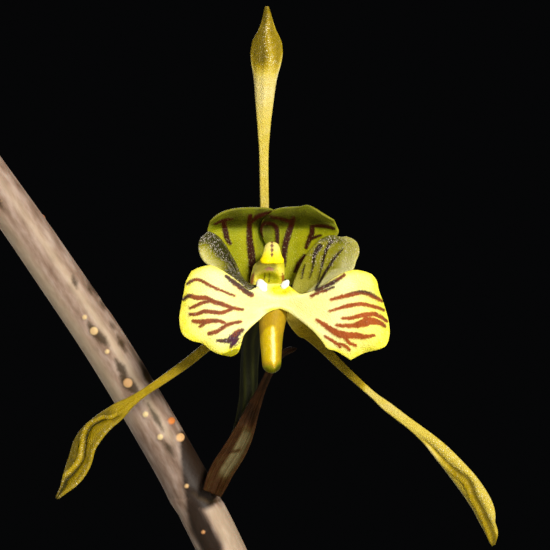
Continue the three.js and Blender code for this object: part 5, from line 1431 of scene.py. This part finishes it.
def husk(name, bx, by, tall, radius, turned, high, node):
    """A torn sleeve round the lower bulb: part of a ring whose top edge is ragged and leans away from the skin."""
    s, t = np.linspace(0, 1, 24), np.linspace(0, 1, 60)
    tears = np.maximum(0, np.sin(23 * t + 3 * turned)) ** 8 + 0.6 * np.maximum(0, np.sin(37 * t + 5 * turned)) ** 6
    waves = 0.86 + 0.12 * np.sin(9.7 * t + turned) + 0.06 * np.sin(41 * t + 2 * turned)
    ragged = high * (waves - 0.3 * tears) * np.sin(math.pi * (0.08 + 0.84 * t)) ** 0.35
    share = s[:, None] * ragged[None, :]
    angle = turned + (2 * t - 1)[None, :] * 2.2
    wide = profile(BULB_OUTLINE, np.clip(share, 0.02, 1)) * radius
    away = wide * 1.045 + 0.5 + 0.9 * s[:, None] ** 5 + 0.12 * np.sin(7 * angle + 6 * s[:, None])
    middle = cast(bx + away * np.cos(angle), by + away * np.sin(angle), MIX_TOP + 0.1 + share * tall)
    return blade(name, middle, thickness(s, t, 0.25, 0.08), husk_skin, nodes=[node], slot="bract",
                 tone=0.35 - 0.25 * s[:, None])


for number, (name, bx, by, tall, radius) in enumerate(BULBS):
    bulb(name, bx, by, tall, radius, number)
    husk(name + "_husk_a", bx, by, tall, radius, 0.4 + 1.7 * number, 0.55, name)
    husk(name + "_husk_b", bx, by, tall, radius * 1.05, 3.3 + 1.7 * number, 0.36, name)
print("pieces so far:", len(MADE), "triangles:", sum(n for _, n in MADE))

# %% [markdown]
# ## Potting mix
# Orchid growers use coarse bark chips. The solid already fills the pot and holds the bulbs, so it stays, with a
# dark crumbly finish, and some hundreds of chips lie on it. Each chip is a slab of a few faces, seeded at random.

# %% Bark finish and chips
def bark_finish(name, ramp, size):
    """Pine bark: layered cork in browns, rough and matt. Clouds at a few millimetres and a fine crumb."""
    skin, add, shader = finish(name, Roughness=0.9)
    spot = add("TexCoord").outputs["Object"]
    grain = add("TexNoise", {"Vector": spot}, Scale=1000 / size, Detail=7.0, Roughness=0.7)
    crumb = add("TexVoronoi", {"Vector": spot}, Scale=1000 / 0.9)
    tone = add("Attribute", attribute_name="tone").outputs["Fac"]
    place = add("Math", {0: grain, 2: tone}, operation="MULTIPLY_ADD", _1=0.7)
    brown = add("ValToRGB", {"Fac": place}, ramp=ramp)
    rise = add("Math", {0: crumb, 2: grain}, operation="MULTIPLY_ADD", _1=0.5)
    bump = add("Bump", {"Height": rise}, Strength=0.8, Distance=0.0006)
    wire(shader, {"Base Color": brown, "Normal": bump})
    return skin


crumb_skin = bark_finish("bark_crumb", [(0.2, "#1f1510"), (0.6, "#3b281b"), (1, "#5a3e2a")], 3)
chip_skin = bark_finish("bark_chip", [(0.15, "#2c1c13"), (0.45, "#573824"), (0.75, "#83573a"), (1, "#a97f58")], 2.4)
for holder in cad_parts["potting_mix"].material_slots:
    holder.material = crumb_skin

MIX_RADIUS, STEM_FOOT, STEM_CLEAR = 41, (10.6, -10.7), 4.6


def chips(name, count, seed, low, high, lift):
    """Slabs on the mix: an eight-sided flat stone shape, copied, stretched, tilted and dropped by seeded chance."""
    chance = np.random.default_rng(seed)
    angle = around(8)
    ring = np.stack([np.cos(angle), np.sin(angle)], -1)
    heights, widths = np.array([-1, -0.4, 0.45, 1]), np.array([0.72, 1, 0.96, 0.62])
    body = np.concatenate([np.concatenate([ring * w, np.full((8, 1), h)], 1) for h, w in zip(heights, widths)])
    radius = MIX_RADIUS * np.sqrt(chance.uniform(0.0, 1, count))
    turn = chance.uniform(0, 2 * math.pi, count)
    spot = np.stack([radius * np.cos(turn), radius * np.sin(turn)], -1)
    clear = np.ones(count, bool)
    for _, bx, by, _, wide in BULBS:
        clear &= np.hypot(*(spot - (bx, by)).T) > wide * 0.86
    clear &= np.hypot(*(spot - STEM_FOOT).T) > STEM_CLEAR
    spot = spot[clear]
    count = len(spot)
    size = chance.uniform(low, high, (count, 1, 3)) * [1, 0.72, 0.3]
    wobble = 1 + 0.16 * chance.standard_normal((count, len(body), 1)).clip(-1.4, 1.4)
    local = body[None] * wobble * size
    a, b, c = chance.uniform(-0.45, 0.45, (2, count)).tolist() + [chance.uniform(0, 2 * math.pi, count).tolist()]
    ca, sa, cb, sb, cc, sc = (f(np.array(v)) for v in (a, b, c) for f in (np.cos, np.sin))
    turned = np.stack([np.stack([cc * cb, cc * sb * sa - sc * ca, cc * sb * ca + sc * sa], -1),
                       np.stack([sc * cb, sc * sb * sa + cc * ca, sc * sb * ca - cc * sa], -1),
                       np.stack([-sb, cb * sa, cb * ca], -1)], 1)
    x, y = spot[:, 0], spot[:, 1]
    ground = MIX_TOP - 0.9 + 0.45 * np.sin(0.37 * x + 1) * np.cos(0.31 * y) + 0.4 * np.sin(0.23 * (x - y))
    fall = ground + size[:, 0, 2] * 0.5 + chance.uniform(0, lift, count)
    points = np.einsum("nij,nkj->nki", turned, local) + np.concatenate([spot, fall[:, None]], 1)[:, None]
    grid = np.arange(32).reshape(4, 8)
    side = np.stack([grid[:-1], np.roll(grid, -1, 1)[:-1], np.roll(grid, -1, 1)[1:], grid[1:]], -1).reshape(-1, 4)
    cap = np.array([[0, 3, 2, 1], [0, 5, 4, 3], [0, 7, 6, 5], [24, 25, 26, 27], [24, 27, 28, 29], [24, 29, 30, 31]])
    faces = (np.vstack([side, cap])[None] + 32 * np.arange(count)[:, None, None]).reshape(-1, 4)
    tone = np.repeat(chance.uniform(0.0, 0.45, count), 32)
    made = piece(name, points.reshape(-1, 3), faces, chip_skin, (), "bark_mix", tone=tone)
    made.data.shade_flat()
    return made


chips("bark_chips_coarse", 330, 11, 2.6, 4.6, 1.4)
chips("bark_chips_fine", 620, 12, 1.1, 2.4, 0.8)
print(MADE[-2:])

# %% [markdown]
# ## The clay pot
# A turned terracotta pot with a thick collar. The wall is one profile carried round the axis, with rounded edges,
# faint throwing lines and the slight unevenness of fired clay. Its four drainage holes are cut by a boolean.

# %% Terracotta
def clay_finish():
    """Fired earthenware: orange-brown, matt and porous, with pale salt bloom in low bands and fine sand grain."""
    skin, add, shader = finish("terracotta", Roughness=0.88)
    spot = add("TexCoord").outputs["Object"]
    cloud = add("TexNoise", {"Vector": spot}, Scale=38.0, Detail=7.0, Roughness=0.62)
    sand = add("TexNoise", {"Vector": spot}, Scale=1300.0, Detail=3.0)
    body = add("ValToRGB", {"Fac": cloud},
               ramp=[(0.3, "#9c5230"), (0.5, "#b4643c"), (0.68, "#c67a50")])
    pale = add("TexNoise", {"Vector": spot}, Scale=85.0, Detail=8.0, Roughness=0.7)
    bloom = add("MapRange", {"Value": pale}, interpolation_type="SMOOTHSTEP",
                From_Min=0.53, From_Max=0.72, To_Max=0.5)
    salted = add("Mix", {0: bloom, 6: body}, _7="#d9b39a")
    specks = add("MapRange", {"Value": sand}, From_Min=0.62, From_Max=0.72, To_Max=0.4)
    sandy = add("Mix", {0: specks, 6: salted}, _7="#7c3f26")
    bump = add("Bump", {"Height": sand}, Strength=0.5, Distance=0.0002)
    wire(shader, {"Base Color": sandy, "Normal": bump})
    return skin


clay_skin = clay_finish()
print("clay shader nodes:", len(clay_skin.node_tree.nodes))

# %% [markdown]
# Pots of this kind are pressed or thrown with a collar for grip and holes to drain. The corner points are rounded by
# averaging, since fired clay has no sharp edge, and four rods are taken out of the base with a boolean.

# %% The pot's wall
POT_PROFILE = [[0.01, 0], [30, 0], [30.6, 0.2], [31, 1], [43.2, 61], [45.5, 61.4], [47.3, 62.5], [48.1, 64],
               [48.75, 77.6], [48.6, 79], [47.6, 80], [46.2, 80.1], [44.8, 79.9], [43.9, 78.6], [41.3, 62],
               [28.5, 8.5], [27.6, 7.3], [26.5, 7], [0.01, 7]]

DRAIN_AT, DRAIN_RADIUS = 18, 4.0


def pot():
    """The profile resampled evenly, its corners rounded by averaging, carried round the axis with throwing lines."""
    corner = np.array(POT_PROFILE, float)
    soft = at(corner, np.linspace(0, 1, 250))
    for _ in range(2):
        soft[1:-1] = (soft[:-2] + 2 * soft[1:-1] + soft[2:]) / 4
    r, z = soft[:, :1], soft[:, 1:]
    turn = around(120)[None, :]
    lines = 0.06 * np.sin(2.2 * z) * (r > 30.5) * (z > 2) + 0.05 * np.sin(3 * turn + 0.09 * z)
    wide = np.maximum(r + lines * (r > 1), 0.01)
    rings = cast(wide * np.cos(turn), wide * np.sin(turn), z)
    made = tube("clay_pot", rings, clay_skin, nodes=["pot"], slot="clay")
    for quarter in range(4):
        steps = np.array([[0, 0, -3.0], [0, 0, 10.0]]) + DRAIN_AT * heading(45 + 90 * quarter)
        hole = rings_along(dense(steps), np.linspace(0, 1, 4), 48, DRAIN_RADIUS)
        drill = tube(f"drill_{quarter}", hole, clay_skin)
        MADE.pop()
        cut = made.modifiers.new("drain", "BOOLEAN")
        cut.operation, cut.object, cut.solver = "DIFFERENCE", drill, "EXACT"
    shape = bpy.data.meshes.new_from_object(made.evaluated_get(bpy.context.evaluated_depsgraph_get()))
    for cut in list(made.modifiers):
        bpy.data.objects.remove(cut.object)
        made.modifiers.remove(cut)
    made.data = shape
    return made


pot()
print(MADE[-1])

# %% [markdown]
# A plain pale sheet lies under the pot. Then the box of what is drawn is worked out and printed.

# %% Floor and finish
FLOOR_RADIUS = 2.1


def floor():
    """A flat round sheet of 4.2 m in a matt pale grey. It ends before it could enter the level view of the flower."""
    mesh = bpy.data.meshes.new("floor")
    turn = around(96)
    rim = FLOOR_RADIUS * cast(np.cos(turn), np.sin(turn), 0)
    mesh.from_pydata(rim.tolist(), [], [tuple(range(96))])
    paint, add, shader = finish("pale_floor", Roughness=0.75)
    spot = add("TexCoord").outputs["Object"]
    soft = add("TexNoise", {"Vector": spot}, Scale=6.0, Detail=3.0)
    grey = add("ValToRGB", {"Fac": soft}, ramp=[(0.3, "#d6d4d0"), (0.7, "#dedcd8")])
    wire(shader, {"Base Color": grey})
    mesh.materials.append(paint)
    made = bpy.data.objects.new("floor", mesh)
    made.location = (0, 0, -0.0002)
    scene.collection.objects.link(made)
    made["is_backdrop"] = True


floor()
VISUAL_BOX = [list(corner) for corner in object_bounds()]
({"cad": [[float(v) for v in corner] for corner in CAD_BOX],
           "visual": [[float(v) for v in corner] for corner in VISUAL_BOX]})
print("triangles:", sum(n for _, n in MADE), "in", len(MADE), "pieces; box:", np.round(VISUAL_BOX, 4).tolist())
